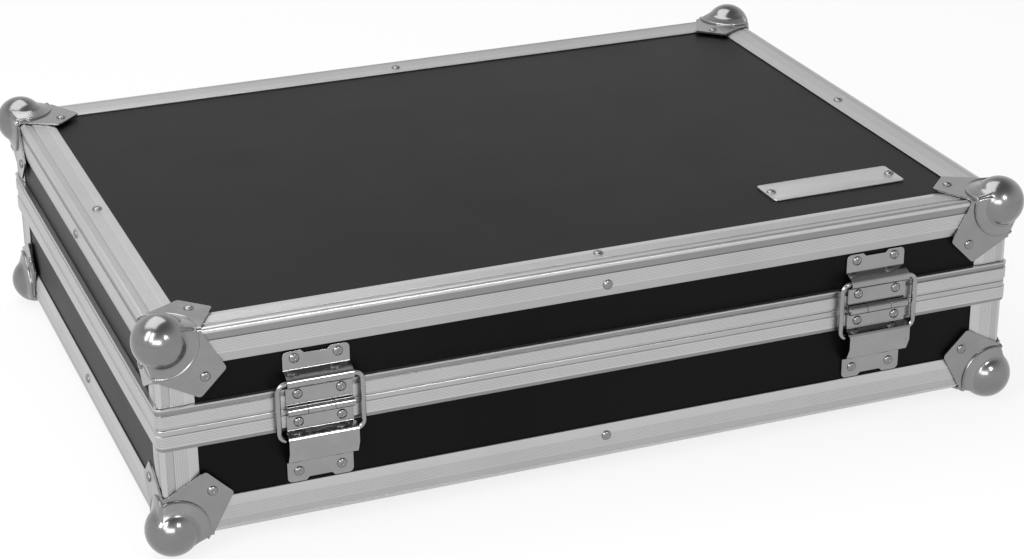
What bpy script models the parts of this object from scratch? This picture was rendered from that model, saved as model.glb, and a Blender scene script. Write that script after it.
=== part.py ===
"""Microphone case: a flat flight case with ball corners, lid-stay hinges and butterfly latches.

Metres, +Z up. The case rests on its four lower ball corners at Z = 0, centred on X and Y.
The hinge side faces -Y, the latch side faces +Y, and X runs along the long side.
"""
import math

import bmesh
import bpy
from mathutils import Matrix, Vector

# Whole case, measured over the edge profiles
CASE_LENGTH = 0.548
CASE_DEPTH = 0.394
CASE_HEIGHT = 0.129
SEAM_SHARE = 0.5504

# Clearances
FIT_GAP = 0.0003
RUNNING_GAP = 0.0003
CUT_OVERRUN = 0.001
WELD_DEPTH = 0.0004
MERGE_DISTANCE = 0.0000002

# Shading and roundness of pins and sleeves
SMOOTH_ANGLE = math.radians(32)
PIN_SIDES = 16

# Laminated plywood panels
PANEL_THICKNESS = 0.0070

# Edge profiles: rounded aluminium angle
EDGE_LEG = 0.022
EDGE_WALL = 0.0015
EDGE_ROUND = 0.0025
EDGE_CHAMFER = 0.0005
EDGE_RIVET_INSET = 0.0145
EDGE_ROUND_STEPS = 3

# Blind rivet heads
RIVET_RADIUS = 0.0031
RIVET_HEIGHT = 0.0015
RIVET_SIDES = 8
RIVET_SHOULDER_RADIUS_SHARE = 0.72
RIVET_SHOULDER_HEIGHT_SHARE = 0.70

# Closure band: tongue on the base half, groove in the lid half
BAND_PROUD = 0.0019
BAND_HALF_HEIGHT = 0.0133
BAND_CORNER_RADIUS = 0.004
BAND_CORNER_STEPS = 4
BAND_WEB = 0.0015
BAND_INNER_WALL = 0.0015
TONGUE_INSET = 0.0048
TONGUE_WIDTH = 0.0040
TONGUE_HEIGHT = 0.0022
GROOVE_GAP = 0.0006

# Ball corners: a pressed ball, three collars and three riveted flanges
BALL_RADIUS = 0.016
BALL_INSET = 0.005
BALL_WALL = 0.0012
BALL_SEGMENTS = 16
BALL_RINGS = 10
REST_FLAT_DEPTH = 0.0003
COLLAR_RADIUS = 0.0183
COLLAR_HEIGHT = 0.0026
FLANGE_REACH_SHARE = 0.917
FLANGE_ROOT_SHARE = 0.683
FLANGE_SIDE_SHARE = 0.610
FLANGE_RIVET_SHARE = 0.690

# Pressed steel sheet of the hinges, keepers and brackets
SHEET = 0.0012

# Lid-stay hinges: heights are measured from the pin's axis
HINGE_OFFSET = 0.1805
LEAF_WIDTH = 0.040
CHANNEL_WIDTH = 0.042
PIN_RADIUS = 0.0015
KNUCKLE_WALL = 0.0011
KNUCKLE_STEPS = 14
KNUCKLE_WRAP = math.radians(292)
MIDDLE_KNUCKLE_WIDTH = 0.016
LEAF_TO_EDGE = 0.0008
UPPER_BEND_RISE = 0.0236
UPPER_FLAT_RISE = 0.0136
LOWER_FLAT_DROP = 0.0127
LEAF_RIVET_OFFSET = 0.0130
UPPER_RIVET_MARGIN = 0.0044
BAND_RIVET_RISE = 0.0100
BAND_RIVET_DROP = 0.0078
LOWER_RIVET_MARGIN = 0.0067
NOTCH_WIDTH = 0.016
NOTCH_DEPTH = 0.0020

# Stay ring, bent from round wire
RING_WIRE_RADIUS = 0.0017
RING_WIDTH = 0.0507
RING_CORNER_RADIUS = 0.0050
RING_TOP_RISE = 0.0182
RING_BOTTOM_DROP = 0.0175
RING_SIDES = 8
RING_CORNER_STEPS = 3
RING_SWING = 0.0020

# Channel in the lower leaf that the ring's lower bar slides in
CHANNEL_TOP_DROP = 0.0142
CHANNEL_CREST_DROP = 0.0156
CHANNEL_FACE_SHARE = 0.498
CHANNEL_LIP_SHARE = 0.6515
CHANNEL_END_SHARE = 0.7282
CHANNEL_LIP_REACH = 0.0069
CHANNEL_EDGE = 0.0010

# Badge plate, left blank
BADGE_LENGTH = 0.092
BADGE_WIDTH = 0.026
BADGE_THICKNESS = 0.0010
BADGE_CORNER = 0.002
BADGE_CORNER_STEPS = 2
BADGE_FROM_END = 0.0925
BADGE_FROM_HINGE_SIDE = 0.063
BADGE_RIVET_OFFSET = 0.042

# Butterfly latches, between the base's edge profile and its closure band
LATCH_OFFSET = 0.165
LATCH_HALF_WIDTH = 0.021
LATCH_TO_EDGE = 0.0050
LATCH_TO_BAND = 0.0004
LATCH_FACE = 0.0075
LATCH_EAR = 0.0085
LATCH_EAR_MARGIN = 0.0035
LATCH_RIVET_MARGIN = 0.0036

# Latch rotor with its eccentric pin
ROTOR_MARGIN = 0.00035
ROTOR_FLANGE = 0.0016
ROTOR_FLANGE_DEPTH = 0.0012
ROTOR_PROUD = 0.0007
ROTOR_SIDES = 20
ECCENTRICITY_SHARE = 0.3333
ECCENTRIC_RADIUS = 0.0015
ECCENTRIC_SIDES = 10
ECCENTRIC_END = 0.0003

# Folding butterfly wing on the rotor
WING_PROUD = 0.0025
WING_THICKNESS = 0.0015
WING_BARREL_RADIUS = 0.0012
WING_INSET = 0.0027
WING_SHOULDER = 0.0024
WING_ARC_STEPS = 8
TRUNNION_RADIUS = 0.0008
LUG_WIDTH = 0.0020
LUG_HALF_HEIGHT = 0.0019
SMALL_SIDES = 8

# Sliding hook; the lift and the lean release it from the keeper
HOOK_THICKNESS = 0.0012
HOOK_LEAN = 0.00135
HOOK_MARGIN = 0.0038
HOOK_SECOND_BEND_DROP = 0.0090
HOOK_BEND_RISE = 0.0028
HOOK_HALF_WIDTH = 0.0130
HOOK_BACK = 0.0006
HOOK_BAND_GAP = 0.0004
HOOK_CLAW_GAP = 0.0005
HOOK_SLOT_SLACK = 0.0012

# Keeper on the lid
KEEPER_HALF_WIDTH = 0.0160
KEEPER_LOW_RISE = 0.0016
KEEPER_LEDGE_HEIGHT = 0.0042
KEEPER_RIDGE = 0.0012
KEEPER_BEND_RISE = 0.0026
KEEPER_TO_EDGE = 0.0050
KEEPER_RIVET_OFFSET = 0.0100

# Folding carry handle
HANDLE_OFFSET = 0.052
BRACKET_HALF_WIDTH = 0.0120
BRACKET_TO_EDGE = 0.0045
BRACKET_TO_BAND = 0.0012
BRACKET_RIVET_MARGIN = 0.0042
PIVOT_MARGIN = 0.0064
BRACKET_RIVET_OFFSET = 0.0065
BAIL_WIRE_RADIUS = 0.0025
BAIL_SEAT = 0.0034
BAIL_ARM_OFFSET = 0.0335
BAIL_DROP = 0.0340
BAIL_BEND_RADIUS = 0.0060
BAIL_END_MARGIN = 0.0020
BAIL_SIDES = 10
BAIL_BEND_STEPS = 3
GRIP_RADIUS = 0.0044
GRIP_HALF_LENGTH = 0.0255

# Foam
FOAM_GAP = 0.0006
FOAM_BELOW_SEAM = 0.0050
POCKET_COLUMNS = 6
POCKET_ROWS = 2
POCKET_WIDTH = 0.058
POCKET_LENGTH = 0.160
POCKET_DEPTH = 0.045
POCKET_CORNER = 0.008
POCKET_CORNER_STEPS = 2
LID_FOAM_THICKNESS = 0.038

# Values that follow from the sizes above
HALF_LENGTH = CASE_LENGTH / 2
HALF_DEPTH = CASE_DEPTH / 2
SEAM_HEIGHT = CASE_HEIGHT * SEAM_SHARE
LID_HEIGHT = CASE_HEIGHT - SEAM_HEIGHT
FLOOR_TO_CASE = BALL_RADIUS - BALL_INSET - REST_FLAT_DEPTH
PANEL_INSET = EDGE_WALL + FIT_GAP
PANEL_INNER = PANEL_INSET + PANEL_THICKNESS
BAND_OUTER_WALL = BAND_PROUD + EDGE_WALL
BAND_INNER_FACE = PANEL_INNER + FIT_GAP + BAND_INNER_WALL
BAND_TOP = SEAM_HEIGHT + BAND_HALF_HEIGHT
BAND_BOTTOM = SEAM_HEIGHT - BAND_HALF_HEIGHT
HALF_GAP = FIT_GAP / 2
GROOVE_DEPTH = TONGUE_HEIGHT + GROOVE_GAP
LID_WEB = GROOVE_DEPTH + BAND_WEB
EDGE_END = EDGE_LEG + FIT_GAP
FLANGE_REACH = (LID_HEIGHT - BAND_HALF_HEIGHT) * FLANGE_REACH_SHARE
FLANGE_ROOT = FLANGE_REACH * FLANGE_ROOT_SHARE
FLANGE_SIDE = FLANGE_REACH * FLANGE_SIDE_SHARE
FLANGE_RIVET_INSET = FLANGE_REACH * FLANGE_RIVET_SHARE
KNUCKLE_BORE = PIN_RADIUS + RUNNING_GAP
KNUCKLE_RADIUS = KNUCKLE_BORE + KNUCKLE_WALL
AXIS_REACH = BAND_PROUD + FIT_GAP + KNUCKLE_RADIUS
AXIS_HEIGHT = SEAM_HEIGHT
SHEET_ON_PANEL = -PANEL_INSET + FIT_GAP + SHEET
SHEET_ON_BAND = BAND_PROUD + FIT_GAP + SHEET
RING_LENGTH = RING_TOP_RISE + RING_BOTTOM_DROP
UPPER_LEAF_RISE = LID_HEIGHT - EDGE_LEG - LEAF_TO_EDGE
LOWER_LEAF_DROP = SEAM_HEIGHT - EDGE_LEG - LEAF_TO_EDGE
LATCH_BOTTOM = EDGE_LEG + LATCH_TO_EDGE
LATCH_TOP = BAND_BOTTOM - LATCH_TO_BAND
ROTOR_HEIGHT = (LATCH_BOTTOM + LATCH_TOP) / 2
ROTOR_RADIUS = ROTOR_HEIGHT - LATCH_BOTTOM - SHEET - ROTOR_FLANGE - ROTOR_MARGIN
ECCENTRICITY = ROTOR_RADIUS * ECCENTRICITY_SHARE
WING_RADIUS = ROTOR_RADIUS + WING_PROUD
WING_HALF_LENGTH = ROTOR_RADIUS - WING_INSET
HOOK_LIFT = 2 * ECCENTRICITY
HOOK_LOW = LATCH_BOTTOM + SHEET + HOOK_MARGIN
HOOK_FIRST_BEND = BAND_BOTTOM - HOOK_LIFT - HOOK_BEND_RISE
HOOK_SECOND_BEND = SEAM_HEIGHT - HOOK_SECOND_BEND_DROP
KEEPER_LOW = SEAM_HEIGHT + KEEPER_LOW_RISE
KEEPER_LEDGE = KEEPER_LOW + KEEPER_LEDGE_HEIGHT
KEEPER_TOP = CASE_HEIGHT - EDGE_LEG - KEEPER_TO_EDGE
BRACKET_LOW = EDGE_LEG + BRACKET_TO_EDGE
BRACKET_HIGH = BAND_BOTTOM - BRACKET_TO_BAND
HANDLE_PIVOT_HEIGHT = BRACKET_HIGH - PIVOT_MARGIN
ROTOR_FACE = LATCH_FACE + ROTOR_PROUD
ROTOR_BACK = LATCH_FACE - SHEET - RUNNING_GAP - ROTOR_FLANGE_DEPTH
WING_AXIS = ROTOR_FACE + RUNNING_GAP + WING_BARREL_RADIUS
BAIL_PIVOT_REACH = BAIL_SEAT - PANEL_INSET
GRIP_REACH = GRIP_RADIUS + RIVET_HEIGHT + FIT_GAP
FOAM_INSET = BAND_INNER_FACE + FOAM_GAP


def clear_scene():
    for obj in list(bpy.data.objects):
        bpy.data.objects.remove(obj, do_unlink=True)


def make_material(name, color, roughness, metallic):
    material = bpy.data.materials.new(name)
    material.use_nodes = True
    shader = material.node_tree.nodes["Principled BSDF"]
    shader.inputs["Base Color"].default_value = (*color, 1.0)
    shader.inputs["Roughness"].default_value = roughness
    shader.inputs["Metallic"].default_value = metallic
    return material


# Frames: a point is given by its reach out of a wall, its height over the profiles' underside
# and its place along X

def height(value):
    return FLOOR_TO_CASE + value


def on_hinge_side(reach, rise, along):
    return Vector((along, -HALF_DEPTH - reach, height(rise)))


def on_latch_side(reach, rise, along):
    return Vector((along, HALF_DEPTH + reach, height(rise)))


# Mesh building blocks

def new_object(name, mesh):
    obj = bpy.data.objects.new(name, mesh)
    bpy.context.scene.collection.objects.link(obj)
    return obj


def object_from_bmesh(bm, name="piece"):
    bmesh.ops.recalc_face_normals(bm, faces=bm.faces)
    mesh = bpy.data.meshes.new(name)
    bm.to_mesh(mesh)
    bm.free()
    return new_object(name, mesh)


def prism(outline, low, high, place):
    """Solid with a flat outline of (a, b) points, run from low to high along the third direction."""
    bm = bmesh.new()
    near = [bm.verts.new(place(a, b, low)) for a, b in outline]
    far = [bm.verts.new(place(a, b, high)) for a, b in outline]
    bm.faces.new(near)
    bm.faces.new(list(reversed(far)))
    for index in range(len(outline)):
        following = (index + 1) % len(outline)
        bm.faces.new((near[following], near[index], far[index], far[following]))
    return object_from_bmesh(bm)


def box(low, high):
    corners = [(low[0], low[1]), (high[0], low[1]), (high[0], high[1]), (low[0], high[1])]
    return prism(corners, low[2], high[2], lambda a, b, c: Vector((a, b, c)))


def turned_frame(center, axis):
    """Matrix that takes local Z to the axis and the origin to the center."""
    return Matrix.Translation(center) @ axis.to_track_quat("Z", "Y").to_matrix().to_4x4()


def cylinder(start, end, radius, sides, end_radius=None):
    bm = bmesh.new()
    axis = end - start
    far_radius = radius if end_radius is None else end_radius
    frame = turned_frame((start + end) / 2, axis)
    bmesh.ops.create_cone(
        bm, cap_ends=True, segments=sides, radius1=radius, radius2=far_radius,
        depth=axis.length, matrix=frame)
    return object_from_bmesh(bm)


def swept_tube(points, radius, sides, closed):
    """Round wire through the points; the path lies in one plane, so its frames don't twist."""
    count = len(points)
    plane = (points[1] - points[0]).cross(points[2] - points[1])
    for index in range(1, count - 1):
        turn = (points[index] - points[index - 1]).cross(points[index + 1] - points[index])
        if turn.length > plane.length:
            plane = turn
    plane.normalize()
    bm = bmesh.new()
    rings = []
    for index, point in enumerate(points):
        before = points[index - 1] if closed or index > 0 else point
        after = points[(index + 1) % count] if closed or index < count - 1 else point
        incoming = (point - before).normalized() if point != before else (after - point).normalized()
        outgoing = (after - point).normalized() if point != after else incoming
        along = (incoming + outgoing).normalized()
        side = plane.cross(along)
        stretch = 1 / along.dot(incoming)
        ring = []
        for step in range(sides):
            angle = 2 * math.pi * (step + 0.5) / sides
            offset = side * (math.cos(angle) * stretch) + plane * math.sin(angle)
            ring.append(bm.verts.new(point + offset * radius))
        rings.append(ring)
    spans = count if closed else count - 1
    for index in range(spans):
        first = rings[index]
        second = rings[(index + 1) % count]
        for step in range(sides):
            following = (step + 1) % sides
            bm.faces.new((first[step], first[following], second[following], second[step]))
    if not closed:
        bm.faces.new(list(reversed(rings[0])))
        bm.faces.new(rings[-1])
    return object_from_bmesh(bm)


def combine(target, tool, operation):
    """Apply an exact Boolean to the target and drop the tool."""
    modifier = target.modifiers.new(operation, "BOOLEAN")
    modifier.operation = operation
    modifier.solver = "EXACT"
    modifier.object = tool
    graph = bpy.context.evaluated_depsgraph_get()
    result = bpy.data.meshes.new_from_object(target.evaluated_get(graph))
    target.modifiers.clear()
    target.data = result
    bpy.data.objects.remove(tool, do_unlink=True)
    return target


def unite(target, *tools):
    for tool in tools:
        combine(target, tool, "UNION")
    return target


def cut(target, *tools):
    for tool in tools:
        combine(target, tool, "DIFFERENCE")
    return target


def arc_points(center, radius, start, end, steps):
    points = []
    for index in range(steps + 1):
        angle = start + (end - start) * index / steps
        points.append((center[0] + radius * math.cos(angle), center[1] + radius * math.sin(angle)))
    return points


def rounded_rectangle(half_a, half_b, radius, steps):
    corners = ((1, 1, 0), (-1, 1, 1), (-1, -1, 2), (1, -1, 3))
    points = []
    for sign_a, sign_b, quarter in corners:
        center = (sign_a * (half_a - radius), sign_b * (half_b - radius))
        start = quarter * math.pi / 2
        points += arc_points(center, radius, start, start + math.pi / 2, steps)
    return points


def sheet_outline(outer, thickness):
    """Closed outline of a bent sheet: the outer line and its copy moved to the right by the thickness."""
    inner = []
    for index, point in enumerate(outer):
        here = Vector(point)
        before = Vector(outer[index - 1]) if index > 0 else None
        after = Vector(outer[index + 1]) if index < len(outer) - 1 else None
        first = (here - before).normalized() if before else (after - here).normalized()
        second = (after - here).normalized() if after else first
        normal_a = Vector((first.y, -first.x))
        normal_b = Vector((second.y, -second.x))
        mitre = (normal_a + normal_b).normalized()
        inner.append(tuple(here + mitre * (thickness / mitre.dot(normal_a))))
    return list(outer) + list(reversed(inner))


def wrap_points(center, radius):
    """Corners of a bent sheet that wraps half of a round bar of the given radius."""
    corner = radius / math.cos(math.pi / 8)
    points = []
    for eighth in (3, 1, -1, -3):
        angle = eighth * math.pi / 8
        points.append((center[0] + corner * math.cos(angle), center[1] + corner * math.sin(angle)))
    return points


def rivet_head(center, outward):
    """Low dome whose skirt sinks into the surface that carries it."""
    bm = bmesh.new()
    frame = turned_frame(center, outward)
    levels = (
        (RIVET_RADIUS, -WELD_DEPTH),
        (RIVET_RADIUS, 0),
        (RIVET_RADIUS * RIVET_SHOULDER_RADIUS_SHARE, RIVET_HEIGHT * RIVET_SHOULDER_HEIGHT_SHARE),
    )
    rings = []
    for radius, rise in levels:
        ring = []
        for step in range(RIVET_SIDES):
            angle = 2 * math.pi * step / RIVET_SIDES
            local = Vector((radius * math.cos(angle), radius * math.sin(angle), rise))
            ring.append(bm.verts.new(frame @ local))
        rings.append(ring)
    bm.faces.new(rings[0])
    for lower, upper in zip(rings, rings[1:]):
        for step in range(RIVET_SIDES):
            following = (step + 1) % RIVET_SIDES
            bm.faces.new((lower[step], lower[following], upper[following], upper[step]))
    top = bm.verts.new(frame @ Vector((0, 0, RIVET_HEIGHT)))
    for step in range(RIVET_SIDES):
        bm.faces.new((rings[-1][step], rings[-1][(step + 1) % RIVET_SIDES], top))
    return object_from_bmesh(bm)


def hand_over(obj, name, material, pivot=None, parent=None, smooth=False):
    """Name a finished piece, move its origin to the pivot and hang it on its parent."""
    origin = pivot if pivot is not None else Vector((0, 0, 0))
    obj.data.transform(Matrix.Translation(-origin))
    obj.location = origin
    obj.name = name
    obj.data.name = name
    obj.data.materials.clear()
    obj.data.materials.append(material)
    if smooth:
        obj.data.shade_smooth()
        obj.data.set_sharp_from_angle(angle=SMOOTH_ANGLE)
    if parent is not None:
        obj.parent = parent
        obj.matrix_parent_inverse = Matrix.Translation(parent.location).inverted()
    return obj


def pivot_empty(name, location):
    empty = bpy.data.objects.new(name, None)
    bpy.context.scene.collection.objects.link(empty)
    empty.location = location
    return empty


# Panels

def build_base_panels(material):
    outer_x = HALF_LENGTH - PANEL_INSET
    outer_y = HALF_DEPTH - PANEL_INSET
    inner_x = HALF_LENGTH - PANEL_INNER
    inner_y = HALF_DEPTH - PANEL_INNER
    floor_low = height(PANEL_INSET)
    floor_high = height(PANEL_INNER)
    wall_low = floor_high + FIT_GAP
    wall_high = height(SEAM_HEIGHT - HALF_GAP - BAND_WEB - FIT_GAP)
    floor = box((-outer_x, -outer_y, floor_low), (outer_x, outer_y, floor_high))
    hand_over(floor, "base_bottom_panel", material)
    build_walls("base", material, outer_x, outer_y, inner_x, inner_y, wall_low, wall_high, None)


def build_lid_panels(material, lid):
    outer_x = HALF_LENGTH - PANEL_INSET
    outer_y = HALF_DEPTH - PANEL_INSET
    inner_x = HALF_LENGTH - PANEL_INNER
    inner_y = HALF_DEPTH - PANEL_INNER
    top_low = height(CASE_HEIGHT - PANEL_INNER)
    top_high = height(CASE_HEIGHT - PANEL_INSET)
    wall_low = height(SEAM_HEIGHT + HALF_GAP + LID_WEB + FIT_GAP)
    wall_high = top_low - FIT_GAP
    top = box((-outer_x, -outer_y, top_low), (outer_x, outer_y, top_high))
    hand_over(top, "lid_top_panel", material, parent=lid)
    build_walls("lid", material, outer_x, outer_y, inner_x, inner_y, wall_low, wall_high, lid)


def build_walls(shell, material, outer_x, outer_y, inner_x, inner_y, low, high, parent):
    short_y = inner_y - FIT_GAP
    walls = {
        "hinge_wall": ((-outer_x, -outer_y, low), (outer_x, -inner_y, high)),
        "latch_wall": ((-outer_x, inner_y, low), (outer_x, outer_y, high)),
        "left_wall": ((-outer_x, -short_y, low), (-inner_x, short_y, high)),
        "right_wall": ((inner_x, -short_y, low), (outer_x, short_y, high)),
    }
    for wall, (near, far) in walls.items():
        hand_over(box(near, far), f"{shell}_{wall}", material, parent=parent)


# Edge profiles

def angle_outline():
    """Section of the edge profile; both coordinates are measured inwards from the outer corner."""
    corner = arc_points((EDGE_ROUND, EDGE_ROUND), EDGE_ROUND, 1.5 * math.pi, math.pi, EDGE_ROUND_STEPS)
    tip = EDGE_LEG - EDGE_CHAMFER
    first_leg = [(EDGE_LEG, EDGE_WALL), (EDGE_LEG, EDGE_CHAMFER), (tip, 0)]
    second_leg = [(0, tip), (EDGE_CHAMFER, EDGE_LEG), (EDGE_WALL, EDGE_LEG), (EDGE_WALL, EDGE_WALL)]
    return first_leg + corner + second_leg


def edge_strip(corner, inward_a, inward_b, along, half_length, riveted):
    """Edge profile centred on the corner point and run both ways along the third direction."""
    def place(a, b, c):
        return corner + inward_a * a + inward_b * b + along * c

    strip = prism(angle_outline(), -half_length, half_length, place)
    if riveted:
        unite(
            strip,
            rivet_head(place(EDGE_RIVET_INSET, 0, 0), -inward_b),
            rivet_head(place(0, EDGE_RIVET_INSET, 0), -inward_a))
    return strip


def build_edges(material, lid):
    x_axis = Vector((1, 0, 0))
    y_axis = Vector((0, 1, 0))
    z_axis = Vector((0, 0, 1))
    half_x = HALF_LENGTH - EDGE_END
    half_y = HALF_DEPTH - EDGE_END
    base_top = height(BAND_BOTTOM - FIT_GAP)
    lid_bottom = height(BAND_TOP + FIT_GAP)
    shells = (
        ("base", height(0), z_axis, None, height(EDGE_END), base_top),
        ("lid", height(CASE_HEIGHT), -z_axis, lid, lid_bottom, height(CASE_HEIGHT - EDGE_END)),
    )
    for shell, level, inward_z, parent, upright_low, upright_high in shells:
        for side, sign in (("hinge_side", -1), ("latch_side", 1)):
            corner = Vector((0, sign * HALF_DEPTH, level))
            strip = edge_strip(corner, y_axis * -sign, inward_z, x_axis, half_x, True)
            hand_over(strip, f"{shell}_edge_{side}", material, parent=parent)
        for side, sign in (("left", -1), ("right", 1)):
            corner = Vector((sign * HALF_LENGTH, 0, level))
            strip = edge_strip(corner, x_axis * -sign, inward_z, y_axis, half_y, True)
            hand_over(strip, f"{shell}_edge_{side}", material, parent=parent)
        middle = (upright_low + upright_high) / 2
        half_z = (upright_high - upright_low) / 2
        for side_y, sign_y in (("hinge", -1), ("latch", 1)):
            for side_x, sign_x in (("left", -1), ("right", 1)):
                corner = Vector((sign_x * HALF_LENGTH, sign_y * HALF_DEPTH, middle))
                strip = edge_strip(corner, x_axis * -sign_x, y_axis * -sign_y, z_axis, half_z, False)
                hand_over(strip, f"{shell}_upright_{side_y}_{side_x}", material, parent=parent)


# Closure band

def band_loop(outline):
    """Sweep an (inset, rise) outline round the case; insets past the corner radius meet in a mitre."""
    bm = bmesh.new()
    reach_x = HALF_LENGTH + BAND_PROUD
    reach_y = HALF_DEPTH + BAND_PROUD
    stations = []
    for sign_x, sign_y, quarter in ((1, 1, 0), (-1, 1, 1), (-1, -1, 2), (1, -1, 3)):
        for step in range(BAND_CORNER_STEPS + 1):
            angle = (quarter + step / BAND_CORNER_STEPS) * math.pi / 2
            ring = []
            for inset, rise in outline:
                radius = max(BAND_CORNER_RADIUS - inset, 0)
                center_inset = max(BAND_CORNER_RADIUS, inset)
                x = sign_x * (reach_x - center_inset) + radius * math.cos(angle)
                y = sign_y * (reach_y - center_inset) + radius * math.sin(angle)
                ring.append(bm.verts.new((x, y, height(SEAM_HEIGHT + rise))))
            stations.append(ring)
    for first, second in zip(stations, stations[1:] + stations[:1]):
        for index in range(len(outline)):
            following = (index + 1) % len(outline)
            bm.faces.new((first[index], first[following], second[following], second[index]))
    bmesh.ops.remove_doubles(bm, verts=bm.verts, dist=MERGE_DISTANCE)
    bmesh.ops.dissolve_degenerate(bm, edges=bm.edges, dist=MERGE_DISTANCE)
    return object_from_bmesh(bm)


def build_band(material, lid):
    inner_outer_face = BAND_PROUD + BAND_INNER_FACE
    inner_slot_face = inner_outer_face - BAND_INNER_WALL
    tongue_end = TONGUE_INSET + TONGUE_WIDTH
    base_outline = [
        (0, -BAND_HALF_HEIGHT), (0, -HALF_GAP), (TONGUE_INSET, -HALF_GAP),
        (TONGUE_INSET, TONGUE_HEIGHT), (tongue_end, TONGUE_HEIGHT), (tongue_end, -HALF_GAP),
        (inner_outer_face, -HALF_GAP), (inner_outer_face, -BAND_HALF_HEIGHT),
        (inner_slot_face, -BAND_HALF_HEIGHT), (inner_slot_face, -HALF_GAP - BAND_WEB),
        (BAND_OUTER_WALL, -HALF_GAP - BAND_WEB), (BAND_OUTER_WALL, -BAND_HALF_HEIGHT),
    ]
    groove_start = TONGUE_INSET - GROOVE_GAP
    groove_end = tongue_end + GROOVE_GAP
    lid_outline = [
        (0, BAND_HALF_HEIGHT), (0, HALF_GAP), (groove_start, HALF_GAP),
        (groove_start, GROOVE_DEPTH), (groove_end, GROOVE_DEPTH), (groove_end, HALF_GAP),
        (inner_outer_face, HALF_GAP), (inner_outer_face, BAND_HALF_HEIGHT),
        (inner_slot_face, BAND_HALF_HEIGHT), (inner_slot_face, HALF_GAP + LID_WEB),
        (BAND_OUTER_WALL, HALF_GAP + LID_WEB), (BAND_OUTER_WALL, BAND_HALF_HEIGHT),
    ]
    hand_over(band_loop(base_outline), "closure_band_base", material)
    hand_over(band_loop(lid_outline), "closure_band_lid", material, parent=lid)


# Ball corners

def ball(center, radius):
    bm = bmesh.new()
    bmesh.ops.create_uvsphere(
        bm, u_segments=BALL_SEGMENTS, v_segments=BALL_RINGS, radius=radius,
        matrix=Matrix.Translation(center))
    return object_from_bmesh(bm)


def flange_places():
    """The three faces that meet in a corner; each gives (a, b, c) with c measured into the case."""
    return (
        lambda a, b, c: Vector((a, b, c)),
        lambda a, b, c: Vector((c, a, b)),
        lambda a, b, c: Vector((b, c, a)),
    )


def collar(place, outer):
    """Flared ring between the ball and one flange, trimmed where the next flange begins."""
    foot = place(BALL_INSET, BALL_INSET, -FIT_GAP - WELD_DEPTH)
    rim = place(BALL_INSET, BALL_INSET, -outer - COLLAR_HEIGHT)
    ring = cylinder(foot, rim, COLLAR_RADIUS, BALL_SEGMENTS, BALL_RADIUS - BALL_WALL)
    far = BALL_INSET + COLLAR_RADIUS + CUT_OVERRUN
    near = WELD_DEPTH - outer
    low = BALL_INSET - far
    for outline in (
        [(low, low), (near, low), (near, far), (low, far)],
        [(low, low), (far, low), (far, near), (low, near)],
    ):
        cut(ring, prism(outline, -outer - BALL_RADIUS, CUT_OVERRUN, place))
    return ring


def corner_fitting():
    """Ball corner for a corner at the origin whose case lies towards +X, +Y and +Z."""
    outer = FIT_GAP + SHEET
    center = Vector((BALL_INSET, BALL_INSET, BALL_INSET))
    outline = [
        (-outer, -outer), (FLANGE_ROOT, -outer), (FLANGE_REACH, FLANGE_SIDE),
        (FLANGE_SIDE, FLANGE_REACH), (-outer, FLANGE_ROOT),
    ]
    fitting = ball(center, BALL_RADIUS)
    for place in flange_places():
        outward = place(0, 0, -1)
        unite(
            fitting,
            prism(outline, -outer, -FIT_GAP, place),
            collar(place, outer),
            rivet_head(place(FLANGE_RIVET_INSET, FLANGE_RIVET_INSET, -outer), outward))
    inside = BALL_RADIUS + FLANGE_REACH
    cut(
        fitting,
        ball(center, BALL_RADIUS - BALL_WALL),
        box((-FIT_GAP, -FIT_GAP, -FIT_GAP), (inside, inside, inside)))
    return fitting


def rest_flat_cutter():
    reach = BALL_RADIUS + CUT_OVERRUN
    low = BALL_INSET - reach
    return box((low, low, low), (BALL_INSET + reach, BALL_INSET + reach, -FLOOR_TO_CASE))


def mirrored_copy(source, signs, corner):
    mesh = source.data.copy()
    turn = Matrix.Translation(corner) @ Matrix.Diagonal((*signs, 1))
    mesh.transform(turn)
    if signs[0] * signs[1] * signs[2] < 0:
        mesh.flip_normals()
    return new_object("piece", mesh)


def build_ball_corners(material, lid):
    upper = corner_fitting()
    lower = new_object("piece", upper.data.copy())
    cut(lower, rest_flat_cutter())
    shells = (("base", lower, 1, 0, None), ("lid", upper, -1, CASE_HEIGHT, lid))
    for shell, source, sign_z, level, parent in shells:
        for side_y, sign_y in (("hinge", 1), ("latch", -1)):
            for side_x, sign_x in (("left", 1), ("right", -1)):
                corner = Vector((-sign_x * HALF_LENGTH, -sign_y * HALF_DEPTH, height(level)))
                piece = mirrored_copy(source, (sign_x, sign_y, sign_z), corner)
                name = f"{shell}_ball_corner_{side_y}_{side_x}"
                hand_over(piece, name, material, parent=parent, smooth=True)
    bpy.data.objects.remove(upper, do_unlink=True)
    bpy.data.objects.remove(lower, do_unlink=True)


# Lid-stay hinges

def knuckle_outline(direction):
    """Sheet rolled round the pin and run into its leaf; direction is 1 for a leaf below the pin."""
    back = -KNUCKLE_RADIUS
    end = math.pi - KNUCKLE_WRAP
    wrap = arc_points((0, 0), KNUCKLE_RADIUS, math.pi, end, KNUCKLE_STEPS)
    bore = arc_points((0, 0), KNUCKLE_BORE, end, math.pi, KNUCKLE_STEPS)
    tail = KNUCKLE_RADIUS + RUNNING_GAP + KNUCKLE_WALL
    outline = [(back + SHEET, -tail), (back, -tail)] + wrap + bore
    return [(AXIS_REACH + reach, AXIS_HEIGHT + direction * rise) for reach, rise in outline]


def leaf_place(center_x):
    return lambda reach, rise, along: on_hinge_side(reach, rise, center_x + along)


def add_knuckles(leaf, direction, spans, center_x):
    for start, end in spans:
        unite(leaf, prism(knuckle_outline(direction), start, end, leaf_place(center_x)))
    return leaf


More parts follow.
